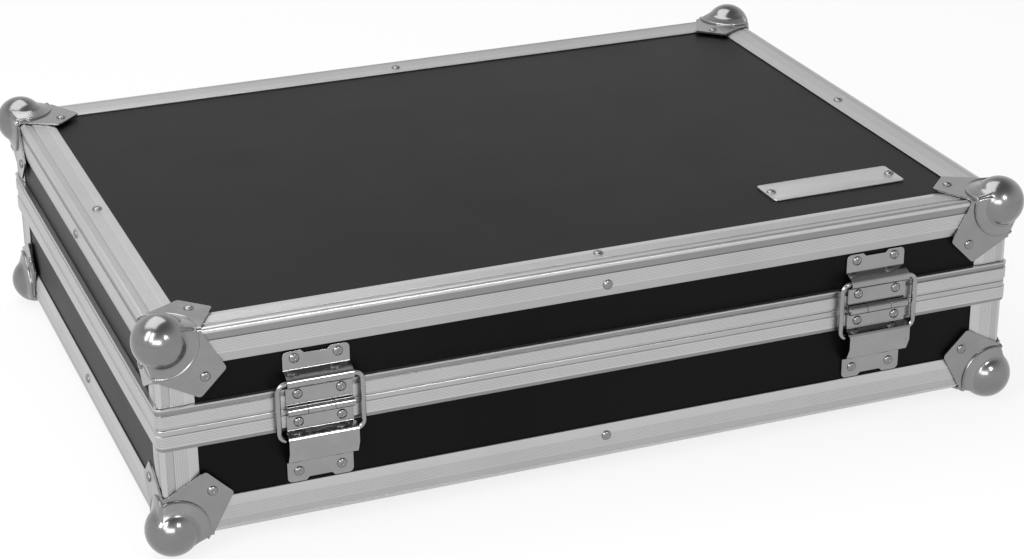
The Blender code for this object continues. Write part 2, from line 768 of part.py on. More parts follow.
def add_leaf_rivets(leaf, center_x, spots):
    for reach, rise in spots:
        for side in (-1, 1):
            center = on_hinge_side(reach, rise, center_x + side * LEAF_RIVET_OFFSET)
            unite(leaf, rivet_head(center, Vector((0, -1, 0))))
    return leaf


def notch_cutter(center_x, edge_rise, direction):
    inner = edge_rise - direction * NOTCH_DEPTH
    outer = edge_rise + direction * CUT_OVERRUN
    outline = [
        (SHEET_ON_PANEL + CUT_OVERRUN, inner), (SHEET_ON_PANEL + CUT_OVERRUN, outer),
        (SHEET_ON_PANEL - SHEET - CUT_OVERRUN, outer), (SHEET_ON_PANEL - SHEET - CUT_OVERRUN, inner),
    ]
    return prism(outline, -NOTCH_WIDTH / 2, NOTCH_WIDTH / 2, leaf_place(center_x))


def upper_leaf(center_x):
    """Leaf on the lid: panel flat, bend, half-round seat for the ring's upper bar, band flat."""
    seat = wrap_points((AXIS_REACH, RING_TOP_RISE), RING_WIRE_RADIUS + RUNNING_GAP + SHEET)
    line = [(SHEET_ON_PANEL, UPPER_LEAF_RISE), (SHEET_ON_PANEL, UPPER_BEND_RISE)]
    line += seat + [(SHEET_ON_BAND, UPPER_FLAT_RISE), (SHEET_ON_BAND, KNUCKLE_RADIUS + RUNNING_GAP)]
    outline = [(reach, AXIS_HEIGHT + rise) for reach, rise in sheet_outline(line, SHEET)]
    leaf = prism(outline, -LEAF_WIDTH / 2, LEAF_WIDTH / 2, leaf_place(center_x))
    inner_end = MIDDLE_KNUCKLE_WIDTH / 2 + RUNNING_GAP
    outer_end = LEAF_WIDTH / 2
    add_knuckles(leaf, -1, ((-outer_end, -inner_end), (inner_end, outer_end)), center_x)
    cut(leaf, notch_cutter(center_x, AXIS_HEIGHT + UPPER_LEAF_RISE, 1))
    spots = (
        (SHEET_ON_PANEL, AXIS_HEIGHT + UPPER_LEAF_RISE - UPPER_RIVET_MARGIN),
        (SHEET_ON_BAND, AXIS_HEIGHT + BAND_RIVET_RISE),
    )
    return add_leaf_rivets(leaf, center_x, spots)


def lower_leaf_line():
    """Outer face of the lower leaf as (reach, rise): band flat, channel, panel flat."""
    face = AXIS_REACH + RING_SWING + RING_WIRE_RADIUS + RUNNING_GAP + SHEET
    line = [
        (SHEET_ON_BAND, KNUCKLE_RADIUS + RUNNING_GAP), (SHEET_ON_BAND, LOWER_FLAT_DROP),
        (face - CHANNEL_EDGE, CHANNEL_TOP_DROP), (face, CHANNEL_CREST_DROP),
        (face, LOWER_LEAF_DROP * CHANNEL_FACE_SHARE),
        (CHANNEL_LIP_REACH, LOWER_LEAF_DROP * CHANNEL_LIP_SHARE),
        (SHEET_ON_PANEL, LOWER_LEAF_DROP * CHANNEL_END_SHARE), (SHEET_ON_PANEL, LOWER_LEAF_DROP),
    ]
    return [(reach, AXIS_HEIGHT - drop) for reach, drop in line]


def lower_leaf(center_x):
    """Leaf on the base; its channel is wider than its flats and clears the ring's sliding bar."""
    place = leaf_place(center_x)
    line = lower_leaf_line()
    channel = [(SHEET_ON_BAND, line[1][1] + CHANNEL_EDGE)] + line[1:-1]
    channel.append((SHEET_ON_PANEL, line[-2][1] - CHANNEL_EDGE))
    leaf = prism(sheet_outline(line, SHEET), -LEAF_WIDTH / 2, LEAF_WIDTH / 2, place)
    unite(leaf, prism(sheet_outline(channel, SHEET), -CHANNEL_WIDTH / 2, CHANNEL_WIDTH / 2, place))
    middle = MIDDLE_KNUCKLE_WIDTH / 2
    add_knuckles(leaf, 1, ((-middle, middle),), center_x)
    cut(leaf, notch_cutter(center_x, AXIS_HEIGHT - LOWER_LEAF_DROP, -1))
    spots = (
        (SHEET_ON_BAND, AXIS_HEIGHT - BAND_RIVET_DROP),
        (SHEET_ON_PANEL, AXIS_HEIGHT - LOWER_LEAF_DROP + LOWER_RIVET_MARGIN),
    )
    return add_leaf_rivets(leaf, center_x, spots)


def stay_ring(center_x):
    half_width = RING_WIDTH / 2
    half_height = RING_LENGTH / 2
    middle = AXIS_HEIGHT + RING_TOP_RISE - half_height
    outline = rounded_rectangle(half_width, half_height, RING_CORNER_RADIUS, RING_CORNER_STEPS)
    points = [on_hinge_side(AXIS_REACH, middle + rise, center_x + along) for along, rise in outline]
    return swept_tube(points, RING_WIRE_RADIUS, RING_SIDES, True)


def build_hinges(material, lid):
    for side, sign in (("left", -1), ("right", 1)):
        center_x = sign * HINGE_OFFSET
        axis_point = on_hinge_side(AXIS_REACH, AXIS_HEIGHT, center_x)
        pin_half = Vector((LEAF_WIDTH / 2, 0, 0))
        pin = cylinder(axis_point - pin_half, axis_point + pin_half, PIN_RADIUS, PIN_SIDES)
        ring_pivot = on_hinge_side(AXIS_REACH, AXIS_HEIGHT + RING_TOP_RISE, center_x)
        hand_over(upper_leaf(center_x), f"hinge_{side}_upper_leaf", material, parent=lid)
        hand_over(lower_leaf(center_x), f"hinge_{side}_lower_leaf", material)
        hand_over(pin, f"hinge_{side}_pin", material, smooth=True)
        ring = stay_ring(center_x)
        hand_over(ring, f"hinge_{side}_stay_ring", material, pivot=ring_pivot, parent=lid, smooth=True)


# Badge plate

def build_badge(material, lid):
    center_x = HALF_LENGTH - BADGE_FROM_END
    center_y = BADGE_FROM_HINGE_SIDE - HALF_DEPTH
    low = height(CASE_HEIGHT - PANEL_INSET + FIT_GAP)
    outline = rounded_rectangle(BADGE_LENGTH / 2, BADGE_WIDTH / 2, BADGE_CORNER, BADGE_CORNER_STEPS)
    high = low + BADGE_THICKNESS
    plate = prism(outline, low, high, lambda a, b, c: Vector((center_x + a, center_y + b, c)))
    for side in (-1, 1):
        center = Vector((center_x + side * BADGE_RIVET_OFFSET, center_y, high))
        unite(plate, rivet_head(center, Vector((0, 0, 1))))
    hand_over(plate, "badge_plate", material, parent=lid)


# Butterfly latches

def latch_place(center_x):
    return lambda reach, rise, along: on_latch_side(reach, rise, center_x + along)


def latch_box(center_x, reaches, rises, half_width):
    outline = [
        (reaches[0], rises[0]), (reaches[1], rises[0]), (reaches[1], rises[1]), (reaches[0], rises[1]),
    ]
    return prism(outline, -half_width, half_width, latch_place(center_x))


def latch_body(center_x):
    """Pressed housing, open to the back and the top, with two riveted ears and the rotor's hole."""
    back = SHEET_ON_PANEL - SHEET
    body = latch_box(center_x, (back, LATCH_FACE), (LATCH_BOTTOM, LATCH_TOP), LATCH_HALF_WIDTH)
    ear_rises = (LATCH_BOTTOM + LATCH_EAR_MARGIN, LATCH_TOP - LATCH_EAR_MARGIN)
    ears = latch_box(center_x, (back, SHEET_ON_PANEL), ear_rises, LATCH_HALF_WIDTH + LATCH_EAR)
    hollow = latch_box(
        center_x, (back - CUT_OVERRUN, LATCH_FACE - SHEET),
        (LATCH_BOTTOM + SHEET, LATCH_TOP + CUT_OVERRUN), LATCH_HALF_WIDTH - SHEET)
    hole = cylinder(
        on_latch_side(0, ROTOR_HEIGHT, center_x),
        on_latch_side(LATCH_FACE + CUT_OVERRUN, ROTOR_HEIGHT, center_x),
        ROTOR_RADIUS + RUNNING_GAP, ROTOR_SIDES)
    unite(body, ears)
    cut(body, hollow, hole)
    ear_middle = LATCH_HALF_WIDTH + LATCH_EAR / 2
    spread = (LATCH_TOP - LATCH_BOTTOM) / 2 - LATCH_EAR_MARGIN - LATCH_RIVET_MARGIN
    for side in (-1, 1):
        for level in (-1, 1):
            rise = ROTOR_HEIGHT + level * spread
            center = on_latch_side(SHEET_ON_PANEL, rise, center_x + side * ear_middle)
            unite(body, rivet_head(center, Vector((0, 1, 0))))
    return body


def latch_rotor(center_x):
    """Disc in the housing's hole, its flange behind, the eccentric pin and the wing's lugs."""
    def point(reach):
        return on_latch_side(reach, ROTOR_HEIGHT, center_x)

    rotor = cylinder(point(ROTOR_BACK), point(ROTOR_FACE), ROTOR_RADIUS, ROTOR_SIDES)
    flange = cylinder(
        point(ROTOR_BACK), point(ROTOR_BACK + ROTOR_FLANGE_DEPTH), ROTOR_RADIUS + ROTOR_FLANGE, ROTOR_SIDES)
    rise = ROTOR_HEIGHT + ECCENTRICITY
    pin = cylinder(
        on_latch_side(ECCENTRIC_END - PANEL_INSET + FIT_GAP, rise, center_x),
        on_latch_side(ROTOR_BACK + WELD_DEPTH, rise, center_x), ECCENTRIC_RADIUS, ECCENTRIC_SIDES)
    unite(rotor, flange, pin)
    lug_near = WING_HALF_LENGTH + RUNNING_GAP
    lug_top = WING_AXIS + WING_BARREL_RADIUS
    for side in (-1, 1):
        middle = center_x + side * (lug_near + LUG_WIDTH / 2)
        lug = latch_box(
            middle, (ROTOR_FACE - WELD_DEPTH, lug_top),
            (ROTOR_HEIGHT - LUG_HALF_HEIGHT, ROTOR_HEIGHT + LUG_HALF_HEIGHT), LUG_WIDTH / 2)
        bore_half = Vector((LUG_WIDTH, 0, 0))
        center = on_latch_side(WING_AXIS, ROTOR_HEIGHT, middle)
        bore = cylinder(
            center - bore_half, center + bore_half, TRUNNION_RADIUS + RUNNING_GAP, SMALL_SIDES)
        unite(rotor, cut(lug, bore))
    return rotor


def latch_wing(center_x):
    """Half-round wing with a barrel and two trunnions; it folds flat below its axis."""
    def place(along, rise, reach):
        return on_latch_side(reach, ROTOR_HEIGHT + rise, center_x + along)

    start = -math.asin(WING_SHOULDER / WING_RADIUS)
    arc = arc_points((0, 0), WING_RADIUS, start, -math.pi - start, WING_ARC_STEPS)
    outline = [(WING_HALF_LENGTH, 0), (WING_HALF_LENGTH, -WING_SHOULDER)]
    outline += arc + [(-WING_HALF_LENGTH, -WING_SHOULDER), (-WING_HALF_LENGTH, 0)]
    half = WING_THICKNESS / 2
    wing = prism(outline, WING_AXIS - half, WING_AXIS + half, place)
    barrel = cylinder(
        place(-WING_HALF_LENGTH, 0, WING_AXIS), place(WING_HALF_LENGTH, 0, WING_AXIS),
        WING_BARREL_RADIUS, SMALL_SIDES)
    end = WING_HALF_LENGTH + RUNNING_GAP + LUG_WIDTH
    trunnions = cylinder(
        place(-end, 0, WING_AXIS), place(end, 0, WING_AXIS), TRUNNION_RADIUS, SMALL_SIDES)
    return unite(wing, barrel, trunnions)


def latch_hook(center_x):
    """Bent hook in its released place: lifted and leaned out from its latched line."""
    low_face = HOOK_BACK - PANEL_INSET + HOOK_THICKNESS
    band_face = BAND_PROUD + HOOK_BAND_GAP + HOOK_THICKNESS
    ridge_face = SHEET_ON_BAND + KEEPER_RIDGE
    top_face = ridge_face + RUNNING_GAP + HOOK_THICKNESS
    claw_top = KEEPER_LEDGE + HOOK_CLAW_GAP + HOOK_THICKNESS
    line = [
        (SHEET_ON_BAND + RUNNING_GAP, claw_top), (top_face, claw_top),
        (top_face, HOOK_SECOND_BEND + HOOK_BEND_RISE), (band_face, HOOK_SECOND_BEND),
        (band_face, HOOK_FIRST_BEND + HOOK_BEND_RISE), (low_face, HOOK_FIRST_BEND),
        (low_face, HOOK_LOW),
    ]
    outline = [
        (reach + HOOK_LEAN, rise + HOOK_LIFT) for reach, rise in sheet_outline(line, HOOK_THICKNESS)
    ]
    hook = prism(outline, -HOOK_HALF_WIDTH, HOOK_HALF_WIDTH, latch_place(center_x))
    slot_rise = ROTOR_HEIGHT + ECCENTRICITY
    slot_half_height = ECCENTRIC_RADIUS + HOOK_SLOT_SLACK
    slot_half_width = ECCENTRICITY + ECCENTRIC_RADIUS + RUNNING_GAP
    slot = latch_box(
        center_x,
        (HOOK_LEAN - PANEL_INSET, HOOK_LEAN + low_face + CUT_OVERRUN),
        (slot_rise - slot_half_height, slot_rise + slot_half_height), slot_half_width)
    return cut(hook, slot)


def latch_keeper(center_x):
    """Plate on the lid whose ridge takes the hook's claw; it steps over the band onto the panel."""
    band_back = SHEET_ON_BAND - SHEET
    panel_back = SHEET_ON_PANEL - SHEET
    step_low = BAND_TOP + FIT_GAP
    step_high = step_low + KEEPER_BEND_RISE
    outline = [
        (band_back, KEEPER_LOW), (SHEET_ON_BAND, KEEPER_LOW),
        (SHEET_ON_BAND + KEEPER_RIDGE, KEEPER_LOW + KEEPER_RIDGE),
        (SHEET_ON_BAND + KEEPER_RIDGE, KEEPER_LEDGE), (SHEET_ON_BAND, KEEPER_LEDGE),
        (SHEET_ON_BAND, step_low + FIT_GAP), (SHEET_ON_PANEL, step_high + FIT_GAP),
        (SHEET_ON_PANEL, KEEPER_TOP), (panel_back, KEEPER_TOP), (panel_back, step_high),
        (band_back, step_low),
    ]
    keeper = prism(outline, -KEEPER_HALF_WIDTH, KEEPER_HALF_WIDTH, latch_place(center_x))
    for side in (-1, 1):
        center = on_latch_side(
            SHEET_ON_PANEL, (step_high + KEEPER_TOP) / 2, center_x + side * KEEPER_RIVET_OFFSET)
        unite(keeper, rivet_head(center, Vector((0, 1, 0))))
    return keeper


def build_latches(material, lid):
    for side, sign in (("left", -1), ("right", 1)):
        center_x = sign * LATCH_OFFSET
        rotor_pivot = on_latch_side(ROTOR_FACE, ROTOR_HEIGHT, center_x)
        wing_pivot = on_latch_side(WING_AXIS, ROTOR_HEIGHT, center_x)
        hand_over(latch_body(center_x), f"latch_{side}_body", material)
        rotor = hand_over(latch_rotor(center_x), f"latch_{side}_rotor", material, pivot=rotor_pivot)
        hand_over(latch_wing(center_x), f"latch_{side}_wing", material, pivot=wing_pivot, parent=rotor)
        hook_pivot = on_latch_side(HOOK_LEAN, HOOK_LOW + HOOK_LIFT, center_x)
        hand_over(latch_hook(center_x), f"latch_{side}_hook", material, pivot=hook_pivot)
        hand_over(latch_keeper(center_x), f"latch_{side}_keeper", material, parent=lid)


# Carry handle

def handle_bracket(center_x):
    """Riveted plate with a half-round seat for the bail's turned-out end."""
    seat = wrap_points(
        (BAIL_PIVOT_REACH, HANDLE_PIVOT_HEIGHT), BAIL_WIRE_RADIUS + RUNNING_GAP + SHEET)
    seat_high = seat[0][1] + SHEET
    seat_low = seat[-1][1] - SHEET
    line = [(SHEET_ON_PANEL, BRACKET_HIGH), (SHEET_ON_PANEL, seat_high)]
    line += seat + [(SHEET_ON_PANEL, seat_low), (SHEET_ON_PANEL, BRACKET_LOW)]
    outline = sheet_outline(line, SHEET)
    bracket = prism(outline, -BRACKET_HALF_WIDTH, BRACKET_HALF_WIDTH, latch_place(center_x))
    for side in (-1, 1):
        center = on_latch_side(
            SHEET_ON_PANEL, BRACKET_LOW + BRACKET_RIVET_MARGIN, center_x + side * BRACKET_RIVET_OFFSET)
        unite(bracket, rivet_head(center, Vector((0, 1, 0))))
    return bracket


def bail_side(sign):
    """Half of the bail's centre line in (along, drop): turned-out end, bend, arm, bend."""
    end = HANDLE_OFFSET + BRACKET_HALF_WIDTH - BAIL_END_MARGIN
    radius = BAIL_BEND_RADIUS
    upper_center = (BAIL_ARM_OFFSET + radius, radius)
    lower_center = (BAIL_ARM_OFFSET - radius, BAIL_DROP - radius)
    half_pi = math.pi / 2
    points = [(end, 0)]
    points += arc_points(upper_center, radius, -half_pi, -math.pi, BAIL_BEND_STEPS)
    points += arc_points(lower_center, radius, 0, half_pi, BAIL_BEND_STEPS)
    return [(sign * along, drop) for along, drop in points]


def handle_bail():
    """Wire bail hanging from its two seats, leaned out so that the sleeve clears the edge profile."""
    lean = (GRIP_REACH - BAIL_PIVOT_REACH) / BAIL_DROP
    flat = bail_side(1) + list(reversed(bail_side(-1)))
    points = [
        on_latch_side(BAIL_PIVOT_REACH + drop * lean, HANDLE_PIVOT_HEIGHT - drop, along)
        for along, drop in flat
    ]
    bail = swept_tube(points, BAIL_WIRE_RADIUS, BAIL_SIDES, False)
    rise = HANDLE_PIVOT_HEIGHT - BAIL_DROP
    sleeve = cylinder(
        on_latch_side(GRIP_REACH, rise, -GRIP_HALF_LENGTH),
        on_latch_side(GRIP_REACH, rise, GRIP_HALF_LENGTH), GRIP_RADIUS, PIN_SIDES)
    return unite(bail, sleeve)


def build_handle(material):
    for side, sign in (("left", -1), ("right", 1)):
        hand_over(handle_bracket(sign * HANDLE_OFFSET), f"handle_bracket_{side}", material)
    pivot = on_latch_side(BAIL_PIVOT_REACH, HANDLE_PIVOT_HEIGHT, 0)
    hand_over(handle_bail(), "handle_bail", material, pivot=pivot, smooth=True)


# Foam

def build_foam(material, lid):
    half_x = HALF_LENGTH - FOAM_INSET
    half_y = HALF_DEPTH - FOAM_INSET
    low = height(PANEL_INNER + FIT_GAP)
    high = height(SEAM_HEIGHT - FOAM_BELOW_SEAM)
    insert = box((-half_x, -half_y, low), (half_x, half_y, high))
    pocket_floor = high - POCKET_DEPTH
    outline = rounded_rectangle(POCKET_WIDTH / 2, POCKET_LENGTH / 2, POCKET_CORNER, POCKET_CORNER_STEPS)
    pitch_x = 2 * half_x / POCKET_COLUMNS
    pitch_y = 2 * half_y / POCKET_ROWS
    for row in range(POCKET_ROWS):
        for column in range(POCKET_COLUMNS):
            center_x = (column + 0.5) * pitch_x - half_x
            center_y = (row + 0.5) * pitch_y - half_y

            def place(a, b, c, x=center_x, y=center_y):
                return Vector((x + a, y + b, c))

            cut(insert, prism(outline, pocket_floor, high + CUT_OVERRUN, place))
    hand_over(insert, "foam_insert", material)
    pad_high = height(CASE_HEIGHT - PANEL_INNER - FIT_GAP)
    pad = box((-half_x, -half_y, pad_high - LID_FOAM_THICKNESS), (half_x, half_y, pad_high))
    hand_over(pad, "lid_foam_pad", material, parent=lid)


def main():
    clear_scene()
    laminate = make_material("Black laminate", (0.022, 0.022, 0.023), 0.42, 0.0)
    aluminium = make_material("Anodised aluminium", (0.62, 0.62, 0.63), 0.38, 1.0)
    steel = make_material("Plated steel", (0.60, 0.60, 0.61), 0.22, 1.0)
    badge = make_material("Badge aluminium", (0.68, 0.68, 0.69), 0.45, 1.0)
    foam = make_material("Grey foam", (0.045, 0.046, 0.05), 0.95, 0.0)
    lid = pivot_empty("lid_axis", on_hinge_side(AXIS_REACH, AXIS_HEIGHT, 0))
    build_base_panels(laminate)
    build_lid_panels(laminate, lid)
    build_edges(aluminium, lid)
    build_band(aluminium, lid)
    build_ball_corners(steel, lid)
    build_hinges(steel, lid)
    build_badge(badge, lid)
    build_latches(steel, lid)
    build_handle(steel)
    build_foam(foam, lid)


main()
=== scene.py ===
"""Looks of the microphone case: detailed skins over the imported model, materials, light and camera."""
import math

import bmesh
import bpy
from mathutils import Matrix, Vector


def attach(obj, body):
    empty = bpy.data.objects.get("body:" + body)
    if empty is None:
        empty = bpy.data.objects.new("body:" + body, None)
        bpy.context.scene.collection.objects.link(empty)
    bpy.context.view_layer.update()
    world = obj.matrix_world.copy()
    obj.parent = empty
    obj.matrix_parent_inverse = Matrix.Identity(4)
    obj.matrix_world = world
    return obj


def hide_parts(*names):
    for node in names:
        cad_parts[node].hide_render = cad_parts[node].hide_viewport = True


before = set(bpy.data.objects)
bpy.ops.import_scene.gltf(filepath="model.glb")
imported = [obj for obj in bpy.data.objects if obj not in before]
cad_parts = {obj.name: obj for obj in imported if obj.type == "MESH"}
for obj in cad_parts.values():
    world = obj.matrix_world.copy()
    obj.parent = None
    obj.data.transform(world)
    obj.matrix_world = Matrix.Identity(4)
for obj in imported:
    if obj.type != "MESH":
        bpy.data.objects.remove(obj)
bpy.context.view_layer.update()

# Sizes shared with the model, in metres
HALF_LENGTH = 0.274
HALF_DEPTH = 0.197
CASE_LOW = 0.0107
CASE_HIGH = CASE_LOW + 0.129
SEAM = CASE_LOW + 0.0710016
HALF_GAP = 0.00015
FIT_GAP = 0.0003
EDGE_LEG = 0.022
EDGE_WALL = 0.0015
EDGE_RIVET_INSET = 0.0145
BAND_PROUD = 0.0019
BAND_HALF = 0.0133
BALL_RADIUS = 0.016
BALL_INSET = 0.005
SHEET = 0.0012
SHEET_BEVEL = 0.00018
PANEL_OUT = -0.0018
PANEL_THICKNESS = 0.007
ON_PANEL = PANEL_OUT + FIT_GAP + SHEET
ON_BAND = BAND_PROUD + FIT_GAP + SHEET
AXIS_REACH = 0.0051
RIVET_RADIUS = 0.0031
RIVET_HEIGHT = 0.0015
HINGE_OFFSET = 0.1805
LATCH_OFFSET = 0.165
HANDLE_OFFSET = 0.052
SIDES = (("left", -1), ("right", 1))
QUARTERS = ((1, 1, 0), (-1, 1, 90), (-1, -1, 180), (1, -1, 270))
MERGE_DISTANCE = 0.0000005


# Shader helpers; an owner is a material or the world

def set_inputs(node, **values):
    for name, value in values.items():
        node.inputs[name.replace("_", " ")].default_value = value


def add_node(owner, kind, **values):
    node = owner.node_tree.nodes.new(kind)
    set_inputs(node, **values)
    return node


def wire(owner, source, target):
    owner.node_tree.links.new(source, target)


def new_material(name, color, roughness, metallic=0.0, **values):
    material = bpy.data.materials.new(name)
    material.use_nodes = True
    shader = material.node_tree.nodes["Principled BSDF"]
    set_inputs(shader, Base_Color=(*color, 1.0), Roughness=roughness, Metallic=metallic, **values)
    return material


def texture_place(material, scale, use_uv=False):
    """Object or UV coordinates, scaled to the given number of repeats in a metre."""
    scale = scale if isinstance(scale, tuple) else (scale,) * 3
    coordinates = add_node(material, "ShaderNodeTexCoord")
    mapping = add_node(material, "ShaderNodeMapping", Scale=scale)
    wire(material, coordinates.outputs["UV" if use_uv else "Object"], mapping.inputs["Vector"])
    return mapping.outputs["Vector"]


def noise(material, scale, detail=3.0, roughness=0.6, use_uv=False):
    node = add_node(material, "ShaderNodeTexNoise", Scale=1.0, Detail=detail, Roughness=roughness)
    wire(material, texture_place(material, scale, use_uv), node.inputs["Vector"])
    return node.outputs["Fac"]


def ramp(owner, source, stops):
    """Map a grey value through (position, value) stops; a value is a grey or a colour."""
    node = add_node(owner, "ShaderNodeValToRGB")
    elements = node.color_ramp.elements
    while len(elements) < len(stops):
        elements.new(0.5)
    for element, (position, value) in zip(elements, stops):
        element.position = position
        element.color = (*value, 1.0) if isinstance(value, tuple) else (value, value, value, 1.0)
    wire(owner, source, node.inputs["Fac"])
    return node.outputs["Color"]


def bump(material, source, strength, distance, previous=None):
    node = add_node(material, "ShaderNodeBump", Strength=strength, Distance=distance)
    wire(material, source, node.inputs["Height"])
    if previous is not None:
        wire(material, previous, node.inputs["Normal"])
    return node.outputs["Normal"]


def to_shader(material, socket, source):
    wire(material, source, material.node_tree.nodes["Principled BSDF"].inputs[socket])


def shade(material, socket, source, *stops):
    to_shader(material, socket, ramp(material, source, stops))


def make_aluminium(name, color):
    """Satin extrusion: drawn streaks along its length and faint stains."""
    material = new_material(name, (color, color, color * 1.01), 0.36, 1.0)
    streaks = noise(material, (1.5, 3600, 1), 2.0, 0.5, use_uv=True)
    stains = noise(material, 11, 5.0, 0.62)
    dark, pale = [(color * grey, color * grey, color * blue) for grey, blue in ((0.96, 0.97), (1.05, 1.06))]
    shade(material, "Roughness", streaks, (0.3, 0.32), (0.7, 0.40))
    shade(material, "Base Color", stains, (0.3, dark), (0.7, pale))
    to_shader(material, "Normal", bump(material, streaks, 0.2, 0.00003))
    return material


def make_steel(name="Plated steel", color=0.30, rough=(0.10, 0.18), peel_strength=0.10):
    """Plated pressed steel: bright, with a faint orange peel, scratches and finger marks."""
    material = new_material(name, (color, color, color), rough[0], 1.0)
    smudges = noise(material, 60, 5.0, 0.6)
    peel = noise(material, 420, 2.0, 0.5)
    scratches = noise(material, (40, 1500, 260))
    shade(material, "Roughness", smudges, (0.35, rough[0]), (0.7, rough[1]))
    shade(material, "Base Color", smudges, (0.3, color * 0.93), (0.7, color * 1.07))
    first = bump(material, peel, peel_strength, 0.0001)
    to_shader(material, "Normal", bump(material, scratches, 0.08, 0.00003, first))
    return material


def make_laminate():
    """Black laminate: fine grain, faint scuffs and dust."""
    material = new_material("Black laminate", (0.003, 0.003, 0.0031), 0.40, IOR=1.17)
    grain = noise(material, 1300, 2.0, 0.6)
    scuffs = noise(material, 14, 6.0, 0.65)
    dust = noise(material, 5, 3.0, 0.5)
    shade(material, "Roughness", scuffs, (0.35, 0.385), (0.65, 0.415))
    shade(material, "Base Color", dust, (0.35, (0.0024, 0.0024, 0.0025)), (0.7, (0.0040, 0.0040, 0.0042)))
    to_shader(material, "Normal", bump(material, grain, 0.25, 0.00008))
    return material


def make_badge():
    """Blank badge plate: fine satin brushed along its length."""
    material = new_material("Badge aluminium", (0.52, 0.52, 0.525), 0.40, 1.0)
    streaks = noise(material, (60, 3500, 60))
    shade(material, "Roughness", streaks, (0.3, 0.34), (0.7, 0.48))
    to_shader(material, "Normal", bump(material, streaks, 0.25, 0.00003))
    return material


def make_foam():
    """Open-cell foam: dark grey with fine pores."""
    material = new_material("Grey foam", (0.03, 0.031, 0.034), 0.95, Specular_IOR_Level=0.2)
    pores = add_node(material, "ShaderNodeTexVoronoi", Scale=1.0)
    wire(material, texture_place(material, 900), pores.inputs["Vector"])
    patches = noise(material, 45, 4.0, 0.6)
    shade(material, "Base Color", patches, (0.3, (0.024, 0.025, 0.028)), (0.7, (0.042, 0.043, 0.047)))
    to_shader(material, "Normal", bump(material, pores.outputs["Distance"], 0.7, 0.0008))
    return material


def make_rubber():
    """Matt rubber of the handle's grip."""
    material = new_material("Black rubber", (0.014, 0.014, 0.015), 0.55)
    grain = noise(material, 700)
    shade(material, "Roughness", grain, (0.3, 0.48), (0.7, 0.66))
    to_shader(material, "Normal", bump(material, grain, 0.3, 0.0001))
    return material


# Mesh helpers

def new_object(name, data):
    thing = bpy.data.objects.new(name, data)
    bpy.context.scene.collection.objects.link(thing)
    return thing


def each(value, count):
    """One value for all, or a list that has one for each."""
    return value if isinstance(value, (list, tuple)) else [value] * count


def distances(points, closed=False):
    """Running length along a line of points."""
    result = [0.0]
    for first, second in zip(points, points[1:] + (points[:1] if closed else [])):
        result.append(result[-1] + (Vector(second) - Vector(first)).length)
    return result


def loft(bm, rings, closed_rings=False, closed_points=False, caps=False, paint=0):
    """Skin a list of rings of points; UV holds metres along and across."""
    layer = bm.loops.layers.uv.verify()
    along = distances([sum((Vector(p) for p in ring), Vector()) / len(ring) for ring in rings], closed_rings)
    across = distances(list(rings[0]), closed_points)
    verts = [[bm.verts.new(point) for point in ring] for ring in rings]
    count = len(rings[0])
    for i in range(len(rings) if closed_rings else len(rings) - 1):
        first = verts[i]
        second = verts[(i + 1) % len(rings)]
        for j in range(count if closed_points else count - 1):
            k = (j + 1) % count
            face = bm.faces.new((first[j], first[k], second[k], second[j]))
            face.material_index = paint[j] if isinstance(paint, list) else paint
            corners = ((i, j), (i, j + 1), (i + 1, j + 1), (i + 1, j))
            for loop, (row, column) in zip(face.loops, corners):
                loop[layer].uv = (along[row], across[column])
    if caps:
        cap_paint = 0 if isinstance(paint, list) else paint
        bm.faces.new(list(reversed(verts[0]))).material_index = cap_paint
        bm.faces.new(verts[-1]).material_index = cap_paint


def make_piece(name, bm, materials, body, replaced=(), angle=35, bevel=0.0):
    """Turn a bmesh into a piece that rides on a body and stands for the named nodes."""
    bmesh.ops.remove_doubles(bm, verts=bm.verts, dist=MERGE_DISTANCE)
    bmesh.ops.dissolve_degenerate(bm, edges=bm.edges, dist=MERGE_DISTANCE)
    bmesh.ops.recalc_face_normals(bm, faces=bm.faces)
    mesh = bpy.data.meshes.new(name)
    bm.to_mesh(mesh)
    bm.free()
    for material in each(materials, 1):
        mesh.materials.append(material)
    mesh.shade_smooth()
    mesh.set_sharp_from_angle(angle=math.radians(angle))
    piece = new_object(name, mesh)
    if bevel:
        add_bevel(piece, bevel)
    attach(piece, body)
    if replaced:
        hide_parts(*replaced)
    return piece


def stand_in(node, ending, bm, materials, body, angle=40, bevel=0.0):
    """Piece that takes the place of one node."""
    return make_piece(f"{node}_{ending}", bm, materials, body, (node,), angle, bevel)


def rivets(name, body, material, centers, outward):
    """Rivet heads as one piece, with one direction for all or one for each center."""
    bm = bmesh.new()
    for center, direction in zip(centers, each(outward, len(centers))):
        dome(bm, center, direction)
    make_piece(name, bm, material, body)


def add_bevel(piece, width):
    modifier = piece.modifiers.new("soft edges", "BEVEL")
    modifier.width = width
    modifier.segments = 2
    modifier.limit_method = "ANGLE"
    modifier.angle_limit = math.radians(40)
    modifier.harden_normals = True


def circle(sides):
    """Cosine and sine of each step round a circle."""
    turns = [2 * math.pi * step / sides for step in range(sides)]
    return [(math.cos(turn), math.sin(turn)) for turn in turns]


def arc(center, radius, start, end, steps):
    """Points of an arc; angles in degrees."""
    angles = [math.radians(start + (end - start) * index / steps) for index in range(steps + 1)]
    return [(center[0] + radius * math.cos(t), center[1] + radius * math.sin(t)) for t in angles]


def corner_curve(before, here, after, size, steps):
    """Points that round one corner, or the corner itself where it has no size or is nearly straight."""
    here = Vector(here)
    a, b = Vector(before) - here, Vector(after) - here
    half = a.angle(b) / 2
    if not size or half > math.radians(88):
        return [here]
    reach = min(size / math.tan(half), a.length * 0.48, b.length * 0.48)
    start, end = here + a.normalized() * reach, here + b.normalized() * reach
    shares = [step / steps for step in range(steps + 1)]
    return [start * (1 - t) ** 2 + here * (2 * t * (1 - t)) + end * t ** 2 for t in shares]


